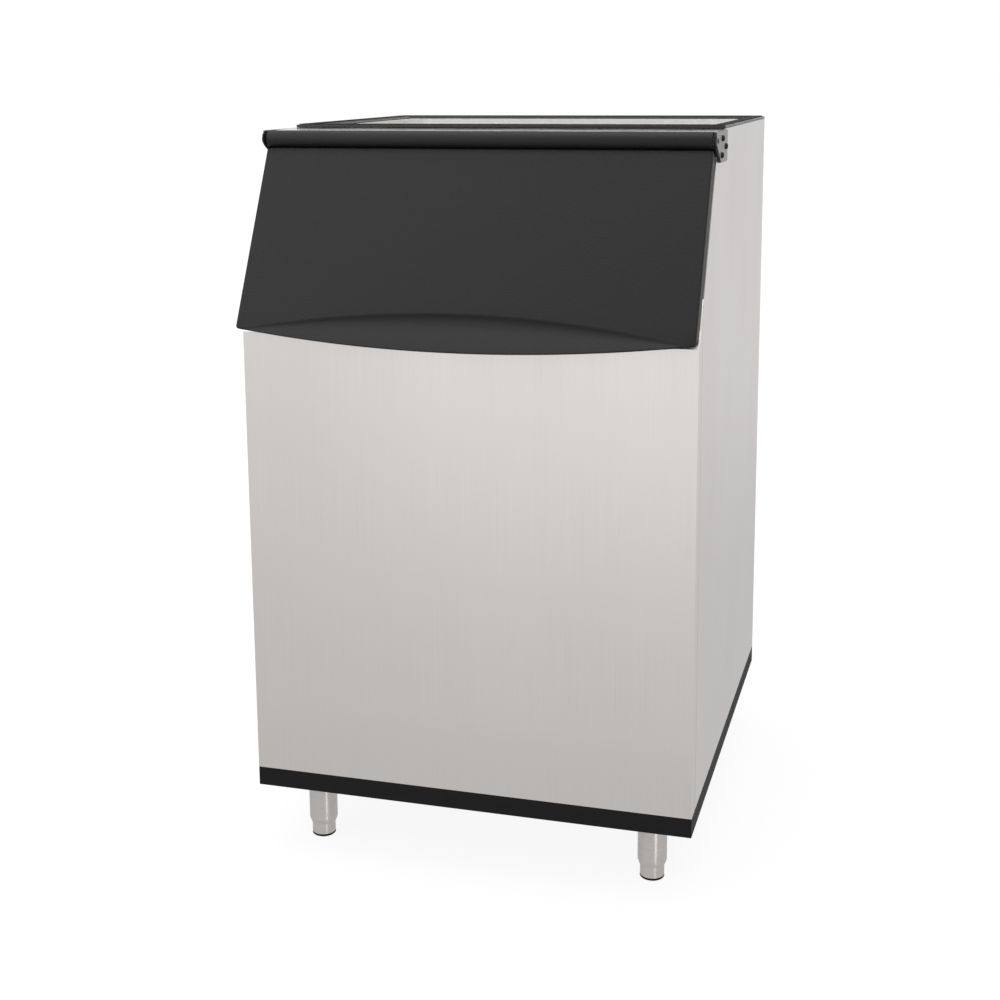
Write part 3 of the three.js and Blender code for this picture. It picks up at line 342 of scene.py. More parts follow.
def lathe(bm, profile, place, steps=64, shape=None):
    """Turns a profile of (radius, height) round z. shape changes the radius by angle and profile index"""
    closed = profile[0] == profile[-1]
    rings = []
    for index, (radius, height) in enumerate(profile[:-1] if closed else profile):
        if radius < TINY:
            rings.append([bm.verts.new(place @ Vector((0, 0, height)))])
            continue
        ring = []
        for step in range(steps):
            angle = math.tau * step / steps
            reach = shape(radius, angle, index) if shape else radius
            point = Vector((reach * math.cos(angle), reach * math.sin(angle), height))
            ring.append(bm.verts.new(place @ point))
        rings.append(ring)
    if closed:
        rings.append(rings[0])
    for low, high in zip(rings, rings[1:]):
        for step in range(steps):
            after = (step + 1) % steps
            if len(low) == 1:
                bm.faces.new((low[0], high[after], high[step]))
            elif len(high) == 1:
                bm.faces.new((low[step], low[after], high[0]))
            else:
                bm.faces.new((low[step], low[after], high[after], high[step]))


def turned_piece(name, node_name, body, profile, place, finish, steps=64, shape=None):
    """A round piece that stands for one CAD node"""
    bm = bmesh.new()
    lathe(bm, profile, place, steps, shape)
    return made_piece(name, bm, body, node_name, finish)


def box(bm, x0, x1, y0, y1, z0, z1, place=Matrix.Identity(4)):
    """A plain block that becomes part of a larger piece"""
    corners = [bm.verts.new(place @ Vector((x, y, z))) for x in (x0, x1) for y in (y0, y1) for z in (z0, z1)]
    for a, b, c, d in ((0, 1, 3, 2), (4, 6, 7, 5), (0, 4, 5, 1), (2, 3, 7, 6), (0, 2, 6, 4), (1, 5, 7, 3)):
        bm.faces.new([corners[i] for i in (a, b, c, d)])


def grid(bm, rows, close_columns=False):
    """Faces between rows of points; with close_columns the last column meets the first"""
    verts = [[bm.verts.new(p) for p in row] for row in rows]
    across = len(verts[0])
    for a, b in zip(verts, verts[1:]):
        for j in range(across if close_columns else across - 1):
            after = (j + 1) % across
            bm.faces.new((a[j], b[j], b[after], a[after]))
    return verts


def bar(bm, sections):
    """A closed solid through a row of sections, each one a ring of points"""
    verts = grid(bm, sections, close_columns=True)
    bm.faces.new(verts[0])
    bm.faces.new(list(reversed(verts[-1])))


def settle(obj):
    """Makes what an object's modifiers do part of its mesh"""
    bpy.context.view_layer.update()
    whole = bpy.data.meshes.new_from_object(obj.evaluated_get(bpy.context.evaluated_depsgraph_get()))
    obj.modifiers.clear()
    obj.data = whole


def union(obj, other):
    """Joins another closed mesh into obj, so that the piece is one skin"""
    change = obj.modifiers.new("join", "BOOLEAN")
    change.operation = "UNION"
    change.solver = "EXACT"
    change.object = other
    settle(obj)
    bpy.data.objects.remove(other)


# Door: a moulded skin with walls round its back, hung on a tube along its top edge
DOOR_HALF = 380
DOOR_TOP = 14.9
DOOR_LENGTH = SLANT_END + 5
DOOR_SKIN = 3.5
DOOR_WALL = 3
DOOR_BACK = 27.7
CORNER = 5
SIDE_ROUND = 3.2
TOP_ROUND = 2.5
TIP_ROUND = 1.7
TIP_BLEND_START = 330
TIP_BLEND_WIDTH = 40

# Its lip: a lens between an upper crease and the curved lower edge. Its surface falls back steeply below
# the crease, at about LIP_DIP over LIP_DIP_REACH of its width, and comes forward again by LIP_RETURN of
# its width up to the lower edge, sooner where LIP_EARLY is larger
LIP_OVERHANG = 9.5
LIP_DROP = 30
CREASE_RISE = 36.5
CREASE_HALF = 354
CREASE_SOFTNESS = 3
CREASE_SOFT_SHARE = 0.3
LENS_LEAST = 2
LIP_DIP = 1.7
LIP_DIP_REACH = 0.14
LIP_RETURN = 0.35
LIP_EARLY = 0.4

# Its walls start inside the skin, so that the two join
WALL_BOTTOM = DOOR_LENGTH - LIP_OVERHANG
WALL_START = 2.9
WALL_START_IN_LIP = 1.8
WALL_CHAMFER = 0.6
WALL_CORNER_GAP = 1
TOP_WALL_HALF = 377.5
TOP_WALL_FRONT = 7.2
TOP_WALL_THICK = 1.8
TOP_WALL_INSET = 0.2

# How finely its mesh is divided
STRAIGHT_COLUMNS = 47
CORNER_DEGREES = (10, 20, 30, 38, 46, 54, 62, 70, 79, 90)
FLAT_ROWS, CREASE_ROWS, LENS_ROWS, ROUND_ROWS = 12, 7, 14, 5
LEAST_ROW = 0.1
WALL_CORNER_STEPS = 10


def edge_down(x):
    """How far down the lip's lower edge lies"""
    reach = abs(x)
    past = max(0.0, reach - (DOOR_HALF - CORNER))
    arc = CORNER - math.sqrt(max(0.0, CORNER ** 2 - past ** 2))
    return DOOR_LENGTH + LIP_DROP * (1 - (reach / DOOR_HALF) ** 2) - arc


def crease_down(x):
    """How far down the lip's upper crease lies"""
    lens = DOOR_LENGTH - CREASE_RISE * max(0.0, 1 - (x / CREASE_HALF) ** 2)
    return min(lens, edge_down(x) - LENS_LEAST)


def crease_soft(width):
    """Half the height over which the crease bends, on a lip of this width"""
    return min(CREASE_SOFTNESS, width * CREASE_SOFT_SHARE)


def lip_depth(x, down):
    """How far the lip's surface lies behind the door's plane; its crease is softened"""
    crease = crease_down(x)
    width = edge_down(x) - crease
    soft = crease_soft(width)
    past = down - crease
    if past <= -soft:
        return 0.0
    below = (past + soft) ** 2 / (4 * soft) if past < soft else past
    share = below / width
    dip = LIP_DIP * LIP_DIP_REACH * (1 - math.exp(-share / LIP_DIP_REACH))
    return width * (dip - LIP_RETURN * share * (1 + LIP_EARLY * (1 - share)))


def rolled(distance, radius):
    """How far a rounded edge falls back at a distance from the edge"""
    inside = max(0.0, radius - max(0.0, distance))
    return radius - math.sqrt(max(0.0, radius ** 2 - inside ** 2))


def near_side(x):
    """0 along the middle of the lip's tip, 1 near the door's sides"""
    return min(1.0, max(0.0, (abs(x) - TIP_BLEND_START) / TIP_BLEND_WIDTH))


def tip_radius(x):
    """The tip's rounding in front, which grows towards the door's sides"""
    return TIP_ROUND + (SIDE_ROUND - TIP_ROUND) * near_side(x)


def arc_shares(steps):
    """Shares from 1 to 0 that are close together where an arc is steep"""
    return [1 - math.sin(math.pi / 2 * step / steps) for step in range(steps + 1)]


def evenly(start, end, count):
    """The count places that follow start, the last of them at end"""
    return [start + (end - start) * (i + 1) / count for i in range(count)]


def door_columns():
    """Where the mesh's columns lie across the door, closer together in its rounded corners"""
    straight = DOOR_HALF - CORNER
    half = evenly(0, straight, STRAIGHT_COLUMNS)
    half += [straight + CORNER * math.sin(math.radians(angle)) for angle in CORNER_DEGREES]
    return [-x for x in reversed(half)] + [0.0] + half


def door_rows(x):
    """How far down the mesh's rows lie in the column at x"""
    edge, crease = edge_down(x), crease_down(x)
    soft = crease_soft(edge - crease)
    rows = [DOOR_TOP + TOP_ROUND * share for share in reversed(arc_shares(ROUND_ROWS))]
    rows += evenly(rows[-1], crease - soft, FLAT_ROWS)
    rows += evenly(rows[-1], crease + soft, CREASE_ROWS)
    lens_end = max(edge - tip_radius(x), rows[-1] + LEAST_ROW)
    rows += evenly(rows[-1], lens_end, LENS_ROWS)
    rows += [edge - (edge - lens_end) * share for share in arc_shares(ROUND_ROWS)[1:]]
    return rows


def door_front(x, down):
    """Depth of the skin's outer surface, with its edges rounded"""
    fall = max(
        rolled(DOOR_HALF - abs(x), SIDE_ROUND),
        rolled(down - DOOR_TOP, TOP_ROUND),
        rolled(edge_down(x) - down, tip_radius(x)),
    )
    return lip_depth(x, down) + fall


def door_rear(x, down):
    """Depth of the skin's inner surface, rounded at the lip's tip but not at the door's sides"""
    tip = TIP_ROUND * (1 - near_side(x))
    return lip_depth(x, down) + DOOR_SKIN - rolled(edge_down(x) - down, tip)


def door_face():
    """The skin itself, from the tube down to the lip's edge"""
    bm = bmesh.new()
    sections = []
    for x in door_columns():
        downs = door_rows(x)
        front = [DOOR @ Vector((x, door_front(x, down), -down)) for down in downs]
        rear = [DOOR @ Vector((x, door_rear(x, down), -down)) for down in reversed(downs)]
        sections.append(front + rear)
    bar(bm, sections)
    return made_piece("door_cover", bm, "door", "door_outer_skin", GRAINED, angle=SHEET_CREASE_ANGLE)


def wall_outline():
    """(x, down, outward x, outward down) along the door's right side, lower edge and left side"""
    half = [(DOOR_HALF, DOOR_TOP, 1, 0)]
    for step in range(WALL_CORNER_STEPS + 1):
        angle = math.pi / 2 * step / WALL_CORNER_STEPS
        out_x, out_down = math.cos(angle), math.sin(angle)
        half.append((
            DOOR_HALF - CORNER + CORNER * out_x, WALL_BOTTOM - CORNER + CORNER * out_down, out_x, out_down,
        ))
    end = DOOR_HALF - CORNER - WALL_CORNER_GAP
    straight = [(x, WALL_BOTTOM, 0, 1) for x in reversed(door_columns()) if abs(x) < end]
    return half + straight + [(-x, down, -out_x, out_down) for x, down, out_x, out_down in reversed(half)]


def door_walls():
    """The walls behind the skin, along its sides and above the lip"""
    bm = bmesh.new()
    sections = []
    for x, down, out_x, out_down in wall_outline():
        start = max(WALL_START, lip_depth(x, min(down, edge_down(x))) + WALL_START_IN_LIP)
        section = (
            (0, start), (0, DOOR_BACK - WALL_CHAMFER), (WALL_CHAMFER, DOOR_BACK),
            (DOOR_WALL - WALL_CHAMFER, DOOR_BACK), (DOOR_WALL, DOOR_BACK - WALL_CHAMFER), (DOOR_WALL, start),
        )
        sections.append([
            DOOR @ Vector((x - out_x * inset, depth, -(down - out_down * inset))) for inset, depth in section
        ])
    bar(bm, sections)
    return made_piece("door_cover_walls", bm, "door", "door_outer_skin", GRAINED)


def door_top_wall():
    """The wall that closes the door's top edge behind the tube's leaf"""
    bm = bmesh.new()
    box(
        bm, -TOP_WALL_HALF, TOP_WALL_HALF, TOP_WALL_FRONT, DOOR_BACK - TOP_WALL_INSET,
        -DOOR_TOP - TOP_WALL_THICK, -DOOR_TOP, DOOR,
    )
    return made_piece("door_cover_top_wall", bm, "door", "door_outer_skin", GRAINED)


def door_cover():
    skin = door_face()
    union(skin, door_walls())
    union(skin, door_top_wall())
    shaded(skin, SHEET_CREASE_ANGLE)


# Hinge tube: the round bar along the door's top edge, with a leaf that holds the door
BARREL_HALF = 379.4
BARREL_RADIUS, BARREL_BORE = 14.5, 9
LEAF_HALF = 376.4
LEAF_FRONT, LEAF_BACK = 3.8, 6.8
LEAF_TOP, LEAF_BOTTOM = 10, 45


def hinge_tube():
    bm = bmesh.new()
    profile = rounded([
        (BARREL_BORE, -BARREL_HALF, 0.5), (BARREL_RADIUS, -BARREL_HALF, 0.9),
        (BARREL_RADIUS, BARREL_HALF, 0.9), (BARREL_BORE, BARREL_HALF, 0.5),
    ], closed=True, steps=4)
    lathe(bm, profile, DOOR @ Matrix.Rotation(math.pi / 2, 4, "Y"), steps=96)
    tube = made_piece("hinge_tube", bm, "door", "hinge_barrel", GRAINED)
    bm = bmesh.new()
    box(bm, -LEAF_HALF, LEAF_HALF, LEAF_FRONT, LEAF_BACK, -LEAF_BOTTOM, -LEAF_TOP, DOOR)
    leaf = made_piece("hinge_leaf", bm, "door", "hinge_barrel", GRAINED)
    union(tube, leaf)
    shaded(tube, CREASE_ANGLE)


# Front panel: one folded sheet with returns down both sides, which step in behind the side panels, a flange
# on the slanted front under the door, and an ear at each of the flange's ends that covers the foam
FOLD = 0.5
RETURN_DEPTH = 34
JOGGLE, JOGGLE_DEPTH, JOGGLE_ROUND = 1.2, 31, 0.8
ROW_BELOW_BREAK, END_BELOW_BREAK = 2, 0.4
PANEL_ROWS = 6
FLANGE_LINES = ((0.4, 0.1), (1.4, 0.0), (33, 0.0))
EAR_INNER, EAR_OUTER = 340, HALF_WIDTH - FOLD
EAR_START, EAR_END, EAR_BACK = 32, 82, 0.2
SHEET_EDGE, SHEET_EDGE_ANGLE = 0.35, 60


def on_slant(x, along, back):
    """A point on the slanted front: how far it lies up from the slant's foot and behind its face"""
    down = SLANT_END - along
    depth = FACE_DEPTH + back
    y = HINGE_BACK - SINE * down + COSINE * depth
    z = HINGE_HEIGHT - COSINE * down - SINE * depth
    return (x, FRONT + y, z)


def front_sheet():
    bm = bmesh.new()
    plan = rounded([
        (HALF_WIDTH - JOGGLE, RETURN_DEPTH, 0), (HALF_WIDTH, JOGGLE_DEPTH, JOGGLE_ROUND),
        (HALF_WIDTH, 0, FOLD), (-HALF_WIDTH, 0, FOLD),
        (-HALF_WIDTH, JOGGLE_DEPTH, JOGGLE_ROUND), (JOGGLE - HALF_WIDTH, RETURN_DEPTH, 0),
    ], steps=6)
    heights = [PANEL_BOTTOM] + evenly(PANEL_BOTTOM, BREAK_HEIGHT - ROW_BELOW_BREAK, PANEL_ROWS)
    rows = [[CABINET @ Vector((x, y, z)) for x, y in plan] for z in heights]
    top = []
    for x, y in plan:
        lift = (y - SHEET) * COSINE / SINE - SHEET if y > SHEET else -END_BELOW_BREAK
        top.append(CABINET @ Vector((x, y, BREAK_HEIGHT + lift)))
    verts = grid(bm, rows + [top])
    previous = [v for v, (x, y) in zip(verts[-1], plan) if abs(y) < TINY]
    for along, back in FLANGE_LINES:
        line = [bm.verts.new(on_slant(v.co.x, along, back)) for v in previous]
        for i in range(len(line) - 1):
            bm.faces.new((previous[i], line[i], line[i + 1], previous[i + 1]))
        previous = line
    for sign in (-1, 1):
        corners = (
            (EAR_INNER, EAR_START), (EAR_OUTER, EAR_START), (EAR_OUTER, EAR_END), (EAR_INNER, EAR_END),
        )
        ear = [bm.verts.new(on_slant(sign * x, along, EAR_BACK)) for x, along in corners]
        bm.faces.new(ear if sign > 0 else list(reversed(ear)))
    sheet = made_piece("front_sheet", bm, "cabinet", "front_panel", STAINLESS, angle=SHEET_CREASE_ANGLE)
    thick = sheet.modifiers.new("thickness", "SOLIDIFY")
    thick.thickness = SHEET * MM
    thick.offset = -1
    thick.use_even_offset = True
    edge = sheet.modifiers.new("edge", "BEVEL")
    edge.width = SHEET_EDGE * MM
    edge.segments = 2
    edge.limit_method = "ANGLE"
    edge.angle_limit = math.radians(SHEET_EDGE_ANGLE)
    settle(sheet)
    shaded(sheet, SHEET_CREASE_ANGLE)


# Legs: tubes with a stud on top, and feet whose stems screw into them. Each outline gives the radius, the
# height above the floor and the corner's radius
LEG_X, LEG_FRONT, LEG_REAR = 300.6, 93.5, 717.5
TUBE_PROFILE = rounded([
    (0, 112, 0), (6.3, 112, 0), (6.3, 74, 0), (21.2, 74, 0), (21.2, 24.6, 0.4), (22.2, 24.6, 0.8),
    (25, 33, 3), (25, 127.5, 0.5), (8, 127.5, 0), (8, 150.7, 0.5), (0, 150.7, 0),
])
FOOT_PROFILE = rounded([
    (0, 4.3, 0), (20.7, 4.3, 0.8), (20.7, 70, 0.6), (18.1, 70, 0.6), (18.1, 8.3, 1), (6, 8.3, 0.5),
    (6, 111, 0.6), (0, 111, 0),
])
PAD_PROFILE = rounded([(0, 0, 0), (19.2, 0, 1), (20.9, 1.5, 1), (20.9, 3.2, 0.5), (19.9, 4, 0.3), (0, 4, 0)])


def legs():
    """Makes the four legs and returns their ground tubes"""
    tubes = []
    for row, y in (("front", LEG_FRONT), ("rear", LEG_REAR)):
        for side, x in (("left", -LEG_X), ("right", LEG_X)):
            leg = f"{row}_{side}"
            unit = f"{leg}_foot_unit"
            place = CABINET @ Matrix.Translation((x, y, 0))
            tubes.append(turned_piece(
                f"{leg}_leg_turned", f"{leg}_leg_tube", "cabinet", TUBE_PROFILE, place, TUBE,
            ))
            tubes.append(turned_piece(f"{leg}_foot_turned", f"{leg}_foot", unit, FOOT_PROFILE, place, TUBE))
            turned_piece(f"{leg}_pad_moulded", f"{leg}_foot_pad", unit, PAD_PROFILE, place, RUBBER)
    return tubes


# Button-head screws with a hexagon socket, hinge pins and bushings on both ends of the tube. Each outline
# gives the radius, the distance from the bin's middle and the corner's radius
SCREW_PLACES = ((48, 2.5), (86, -11.7), (41, -24))
HEAD = 386.5
SCREW_PROFILE = rounded([
    (0, 372, 0), (2.8, 372, 0.5), (2.8, HEAD, 0), (5, HEAD, 0.2), (5, HEAD + 1.6, 1.4),
    (3.6, HEAD + 3.4, 1.6), (2.5, HEAD + 3.4, 0.1), (2.3, HEAD + 1.6, 0), (0, HEAD + 1.6, 0),
], steps=4)
SOCKET_POINTS = 7
SOCKET_MOST = 2.6
SOCKET_WIDENING = 1.04
PIN_PROFILE = rounded([(0, 357, 0), (4, 357, 0.6), (4, 387.4, 1), (0, 387.4, 0)])
BUSHING_PROFILE = rounded([
    (4.3, 359.4, 0), (8.7, 359.4, 0.5), (8.7, 379.7, 0), (9.8, 379.7, 0.3), (9.8, 380.8, 0.3),
    (4.3, 380.8, 0.3),
], closed=True, steps=3)


def screw_socket(radius, angle, index):
    """Makes the rings of the socket, the last ones of the screw's profile, six-sided"""
    if radius > SOCKET_MOST or index < len(SCREW_PROFILE) - SOCKET_POINTS:
        return radius
    sixth = math.pi / 3
    return radius * math.cos(sixth / 2) / math.cos((angle % sixth) - sixth / 2) * SOCKET_WIDENING


def hinge_ends():
    for side, turn in (("right", math.pi / 2), ("left", -math.pi / 2)):
        axis = Matrix.Rotation(turn, 4, "Y")
        for i, (back, up) in enumerate(SCREW_PLACES):
            place = HINGE @ Matrix.Translation((0, back, up)) @ axis
            turned_piece(
                f"{side}_button_screw_{i + 1}", f"{side}_hinge_screw_{i + 1}", "cabinet",
                SCREW_PROFILE, place, OXIDE, steps=36, shape=screw_socket,
            )
        turned_piece(
            f"{side}_turned_pin", f"{side}_hinge_pin", "cabinet",
            PIN_PROFILE, HINGE @ axis, OXIDE, steps=40,
        )
        turned_piece(
            f"{side}_turned_bushing", f"{side}_barrel_bushing", "door",
            BUSHING_PROFILE, DOOR @ axis, WHITE, steps=48,
        )


# Knurled thumb screws that hold the baffle, round rubber bumpers and the pan-head screws of the door. Each
# outline gives the radius, the depth behind the door's plane and the corner's radius
THUMB_X, THUMB_DOWN = 228.6, 40
THUMB_PROFILE = rounded([
    (0, 58, 0), (3, 58, 0.5), (3, 76.6, 0), (7.7, 76.6, 0.5), (11, 79.6, 0.8), (11, 85.6, 1.2),
    (8.4, 85.6, 0.8), (7.6, 84.2, 0.8), (0, 84.2, 0),
])
KNURL_FROM, KNURLS, KNURL_DEPTH = 10, 30, 0.35
BUMPER_X, BUMPER_RISE = 345, 20
BUMPER_PROFILE = rounded([(0, 28.3, 0), (8, 28.3, 0.6), (8, 32.7, 1.2), (0, 32.7, 0)])
PAN_SCREW_SHARES, PAN_SCREW_DOWN = (-0.84, -0.29, 0.29, 0.84), 32
PAN_SCREW_PROFILE = rounded([
    (0, 4.4, 0), (2.2, 4.4, 0.4), (2.2, 28.3, 0), (4.5, 28.3, 0.3), (4.3, 29.4, 0.8), (3.2, 30.1, 0.8),
    (0, 30.1, 0),
])


def knurl(radius, angle, index):
    """Ridges round the thumb screw's grip"""
    return radius - KNURL_DEPTH * (1 + math.cos(angle * KNURLS)) if radius > KNURL_FROM else radius


def small_parts():
    inward = Matrix.Rotation(-math.pi / 2, 4, "X")
    for side, sign in (("left", -1), ("right", 1)):
        place = DOOR @ Matrix.Translation((sign * THUMB_X, 0, -THUMB_DOWN)) @ inward
        turned_piece(
            f"{side}_knurled_screw", f"{side}_thumb_screw", "cabinet",
            THUMB_PROFILE, place, BLACK, steps=120, shape=knurl,
        )
        place = DOOR @ Matrix.Translation((sign * BUMPER_X, 0, BUMPER_RISE - SLANT_END)) @ inward
        turned_piece(
            f"{side}_rubber_bumper", f"{side}_door_bumper", "cabinet",
            BUMPER_PROFILE, place, RUBBER, steps=40,
        )
    for i, share in enumerate(PAN_SCREW_SHARES):
        place = DOOR @ Matrix.Translation((DOOR_HALF * share, 0, -PAN_SCREW_DOWN)) @ inward
        turned_piece(
            f"pan_screw_{i + 1}", f"door_screw_{i + 1}", "door",
            PAN_SCREW_PROFILE, place, ZINC, steps=32,
        )


# Broken edges on the carried-over solids: a node's name and the bevel in millimetres
EDGES = {
    "right_side_panel": 0.35, "left_side_panel": 0.35, "back_panel": 0.35, "top_ledge": 0.45,
    "base_trim": 0.8, "bottom_pan": 0.3, "top_rim": 0.9, "top_seal": 0.4, "door_frame": 0.5,
    "ice_baffle": 0.5, "drain_fitting": 0.6, "drain_nut": 0.8, "drain_strainer": 0.4,
    "right_hinge_spacer": 0.4, "left_hinge_spacer": 0.4, "right_hinge_plate": 0.35, "left_hinge_plate": 0.35,
    "right_hinge_nut_plate": 0.3, "left_hinge_nut_plate": 0.3, "door_inner_skin": 0.9,
}
EDGE_ANGLE = 25
FLAT_ANGLE = 0.5
SOLID_SAME_PLACE = 0.01
LINER_CREASE_ANGLE = 30

# Nodes whose finish isn't the usual one of their material slot
FINISH_OF_NODE = {
    "right_hinge_plate": PLATE,
    "left_hinge_plate": PLATE,
    "top_ledge": BRIGHT,
    "top_rim": GLOSSY,
}


def carried_nodes():
    """Gives every carried-over node its finish, and broken edges where they show"""
    for name, obj in frame["nodes"].items():
        finish = FINISH_OF_NODE.get(name) or FINISH_OF_SLOT[SLOT_OF_NODE[name]]
        if obj.material_slots:
            for place in obj.material_slots:
                place.material = finish
        else:
            obj.data.materials.append(finish)
        if name in EDGES:
            obj.data.polygons.foreach_set("use_smooth", [True] * len(obj.data.polygons))
            weld = obj.modifiers.new("weld", "WELD")
            weld.merge_threshold = SOLID_SAME_PLACE * MM
            flat = obj.modifiers.new("flat", "DECIMATE")
            flat.decimate_type = "DISSOLVE"
            flat.angle_limit = math.radians(FLAT_ANGLE)
            edge = obj.modifiers.new("edge", "BEVEL")
            edge.width = EDGES[name] * MM
            edge.segments = 3
            edge.limit_method = "ANGLE"
            edge.angle_limit = math.radians(EDGE_ANGLE)
            edge.use_clamp_overlap = True
            obj.modifiers.new("normals", "WEIGHTED_NORMAL")


def liner():
    """The liner's own surfaces with their rounded corners shaded as curves"""
    bm = bmesh.new()
    bm.from_mesh(frame["nodes"]["liner"].data)
    bmesh.ops.scale(bm, vec=(1 / MM,) * 3, verts=bm.verts)
    bmesh.ops.remove_doubles(bm, verts=bm.verts, dist=SOLID_SAME_PLACE)
    bmesh.ops.dissolve_limit(bm, angle_limit=math.radians(FLAT_ANGLE), verts=bm.verts, edges=bm.edges)
    made_piece("liner_moulding", bm, "cabinet", "liner", WHITE, angle=LINER_CREASE_ANGLE)


door_cover()
hinge_tube()
front_sheet()
ground_tubes = legs()
hinge_ends()
small_parts()
liner()
carried_nodes()


# Floor, world, lamps and camera, in metres. The levels are painted reflections that only metal sees: 1 is
# white
# painted reflection: metal sees these levels instead of the world's light, greyer to the left and behind
PAINTED_REFLECTION_LEVELS = {"front": 1.06, "left": 0.8, "behind": 0.79}
LEFT_RANGE = (-0.47, -0.29)
BEHIND_RANGE = (-0.4, 0.6)
# painted shade: the glowing floor that metal sees grows darker towards the bin's foot
PAINTED_SHADE_LEVEL = 0.66
PAINTED_SHADE_RANGE = (0.9, 4.8)
SHADOW_SHARE = 0.16
SHADOW_RANGE = (0.5, 1.5)
FLOOR_WHITE = 1.06
FLOOR_HALF = 30
WORLD_LIGHT = 0.55
WHITE_LIGHT = (1, 1, 1, 1)


def eased(tree, source, reach, start=0.0, end=1.0):
    """A soft step from start to end while source runs over reach"""
    return node(
        tree, "ShaderNodeMapRange", {"interpolation_type": "SMOOTHSTEP"},
        {"From Min": reach[0], "From Max": reach[1], "To Min": start, "To Max": end}, {"Value": source},
    )


def painted_reflection_level(tree, place):
    """Painted reflection level of the far studio in a direction: white in front, a little greyer on the left
    and behind
    """
    heading = node(tree, "ShaderNodeVectorMath", {"operation": "NORMALIZE"}, None, {0: place})
    sides = node(tree, "ShaderNodeSeparateXYZ", None, None, {0: heading.outputs[0]})
    left = eased(tree, sides.outputs[0], LEFT_RANGE, PAINTED_REFLECTION_LEVELS["left"], PAINTED_REFLECTION_LEVELS["front"])
    behind = eased(tree, sides.outputs[1], BEHIND_RANGE, PAINTED_REFLECTION_LEVELS["front"], PAINTED_REFLECTION_LEVELS["behind"])
    level = node(
        tree, "ShaderNodeMath", {"operation": "MINIMUM"}, None, {0: left.outputs[0], 1: behind.outputs[0]},
    )
    return level.outputs[0]


def mixed(tree, share, first, second):
    """One shader that goes over into another with share"""
    return node(
        tree, "ShaderNodeMixShader", None, None, {0: share, 1: first.outputs[0], 2: second.outputs[0]},
    )


def shiny_ray(tree, path):
    """1 for the rays that metal and glass send out"""
    return node(
        tree, "ShaderNodeMath", {"operation": "MAXIMUM"}, None,
        {0: path.outputs["Is Glossy Ray"], 1: path.outputs["Is Transmission Ray"]},
    ).outputs[0]


def floor_paint():
    """White to the camera, with a soft shadow near the bin; a pale grey that lights the bin from below; to
    metal, a glow with painted shade near the bin
    """
    made, tree, shader = material("studio_floor_paint", "#CFCDCB", 0.9)
    shader.inputs["Specular IOR Level"].default_value = 0.0
    path = node(tree, "ShaderNodeLightPath")
    place = node(tree, "ShaderNodeTexCoord").outputs["Object"]
    away = node(tree, "ShaderNodeVectorMath", {"operation": "LENGTH"}, None, {0: place}).outputs["Value"]
    shadow = eased(tree, away, SHADOW_RANGE, SHADOW_SHARE, 0.0)
    white = node(tree, "ShaderNodeEmission", None, {"Strength": FLOOR_WHITE})
    lit = node(tree, "ShaderNodeBsdfDiffuse", None, {"Color": WHITE_LIGHT})
    seen = mixed(tree, shadow.outputs[0], white, lit)
    # metal sees a glowing floor instead of the lit one, with painted shade towards the bin's foot
    shade = eased(tree, away, PAINTED_SHADE_RANGE, PAINTED_SHADE_LEVEL)
    tree.links.new(painted_reflection_level(tree, place), shade.inputs["To Max"])
    painted_reflection = node(tree, "ShaderNodeEmission", None, None, {"Strength": shade.outputs[0]})
    unseen = mixed(tree, shiny_ray(tree, path), shader, painted_reflection)
    choice = mixed(tree, path.outputs["Is Camera Ray"], unseen, seen)
    tree.links.new(choice.outputs[0], tree.nodes["Material Output"].inputs["Surface"])
    return made


def floor():
    bm = bmesh.new()
    for x, y in ((-1, -1), (1, -1), (1, 1), (-1, 1)):
        bm.verts.new((x * FLOOR_HALF, y * FLOOR_HALF, 0))
    bm.faces.new(bm.verts)
    mesh = bpy.data.meshes.new("studio_floor")
    bm.to_mesh(mesh)
    bm.free()
    mesh.materials.append(floor_paint())
    obj = bpy.data.objects.new("studio_floor", mesh)
    bpy.context.scene.collection.objects.link(obj)


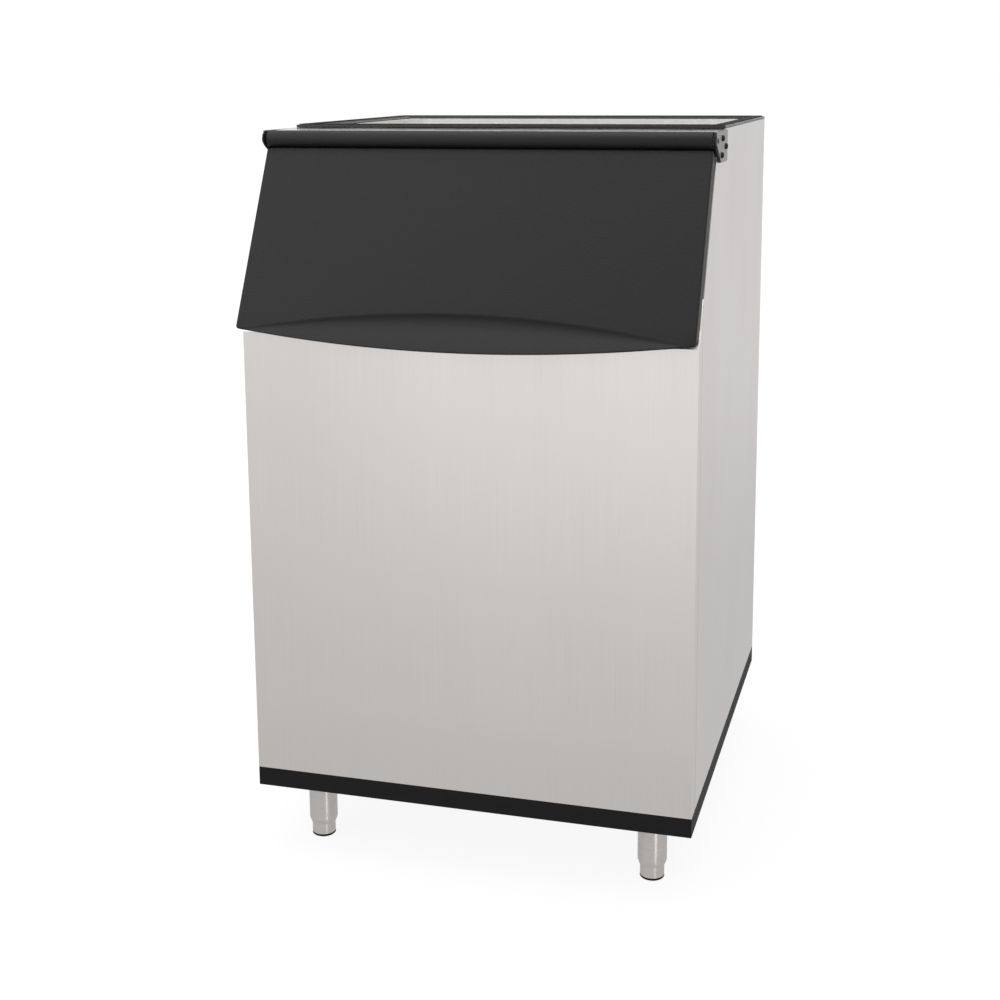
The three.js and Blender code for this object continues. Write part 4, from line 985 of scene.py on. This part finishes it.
def world():
    """White to the camera, painted reflection levels to metal, and a soft even light for the rest"""
    made = bpy.data.worlds.new("studio")
    bpy.context.scene.world = made
    made.use_nodes = True
    tree = made.node_tree
    tree.nodes.clear()
    path = node(tree, "ShaderNodeLightPath")
    level = painted_reflection_level(tree, node(tree, "ShaderNodeTexCoord").outputs["Generated"])
    white = node(tree, "ShaderNodeBackground", None, {"Color": WHITE_LIGHT, "Strength": 1.0})
    soft = node(tree, "ShaderNodeBackground", None, {"Color": WHITE_LIGHT, "Strength": WORLD_LIGHT})
    # painted reflection: metal sees the studio levels, brighter than the light the world gives
    painted_reflection = node(tree, "ShaderNodeBackground", None, {"Color": WHITE_LIGHT}, {"Strength": level})
    unseen = mixed(tree, shiny_ray(tree, path), soft, painted_reflection)
    choice = mixed(tree, path.outputs["Is Camera Ray"], unseen, white)
    output = node(tree, "ShaderNodeOutputWorld")
    tree.links.new(choice.outputs[0], output.inputs["Surface"])


def lamp(name, place, target, size, energy):
    data = bpy.data.lights.new(name, "AREA")
    data.shape = "RECTANGLE"
    data.size, data.size_y = size
    data.energy = energy
    obj = bpy.data.objects.new(name, data)
    obj.location = place
    obj.rotation_euler = (Vector(target) - Vector(place)).to_track_quat("-Z", "Y").to_euler()
    bpy.context.scene.collection.objects.link(obj)
    return obj


def lamps(tubes):
    lamp("overhead_softbox", place=(0, -0.2, 3.6), target=(0, 0.1, 0.9), size=(4.0, 3.0), energy=50)
    lamp("key_softbox", place=(-2.4, -2.6, 2.6), target=(0, -0.4, 0.9), size=(3.2, 3.2), energy=36)
    # the strip draws a streak on the ground tubes, and would burn out in the flat sheets
    strip = lamp("strip_light", place=(1.56, -2.01, 0.7), target=(0, -0.3, 0.1), size=(0.16, 1.2), energy=12)
    strip.light_linking.receiver_collection = bpy.data.collections.new("ground_tubes")
    for tube in tubes:
        strip.light_linking.receiver_collection.objects.link(tube)


# The camera's place and turn, solved from the cabinet's corners and upright edges in the photograph, at a
# height and a shift that were chosen first
CAMERA_PLACE = (0.73524, -2.72726, 1.35)
CAMERA_YAW, CAMERA_PITCH, CAMERA_ROLL = 15.967, -10.398, 0.393
LENS = 56.222
SHIFT = -0.14


def camera():
    data = bpy.data.cameras.new("photo_camera")
    data.lens = LENS
    data.sensor_width = 36
    data.shift_y = SHIFT
    data.clip_end = 200
    obj = bpy.data.objects.new("photo_camera", data)
    turn = (
        Matrix.Rotation(math.radians(CAMERA_YAW), 4, "Z")
        @ Matrix.Rotation(math.radians(CAMERA_PITCH), 4, "X")
        @ Matrix.Rotation(math.radians(CAMERA_ROLL), 4, "Y")
        @ Matrix.Rotation(math.pi / 2, 4, "X")
    )
    obj.matrix_world = Matrix.Translation(CAMERA_PLACE) @ turn
    bpy.context.scene.collection.objects.link(obj)
    bpy.context.scene.camera = obj


floor()
world()
lamps(ground_tubes)
camera()
bpy.context.scene.view_settings.view_transform = "Standard"
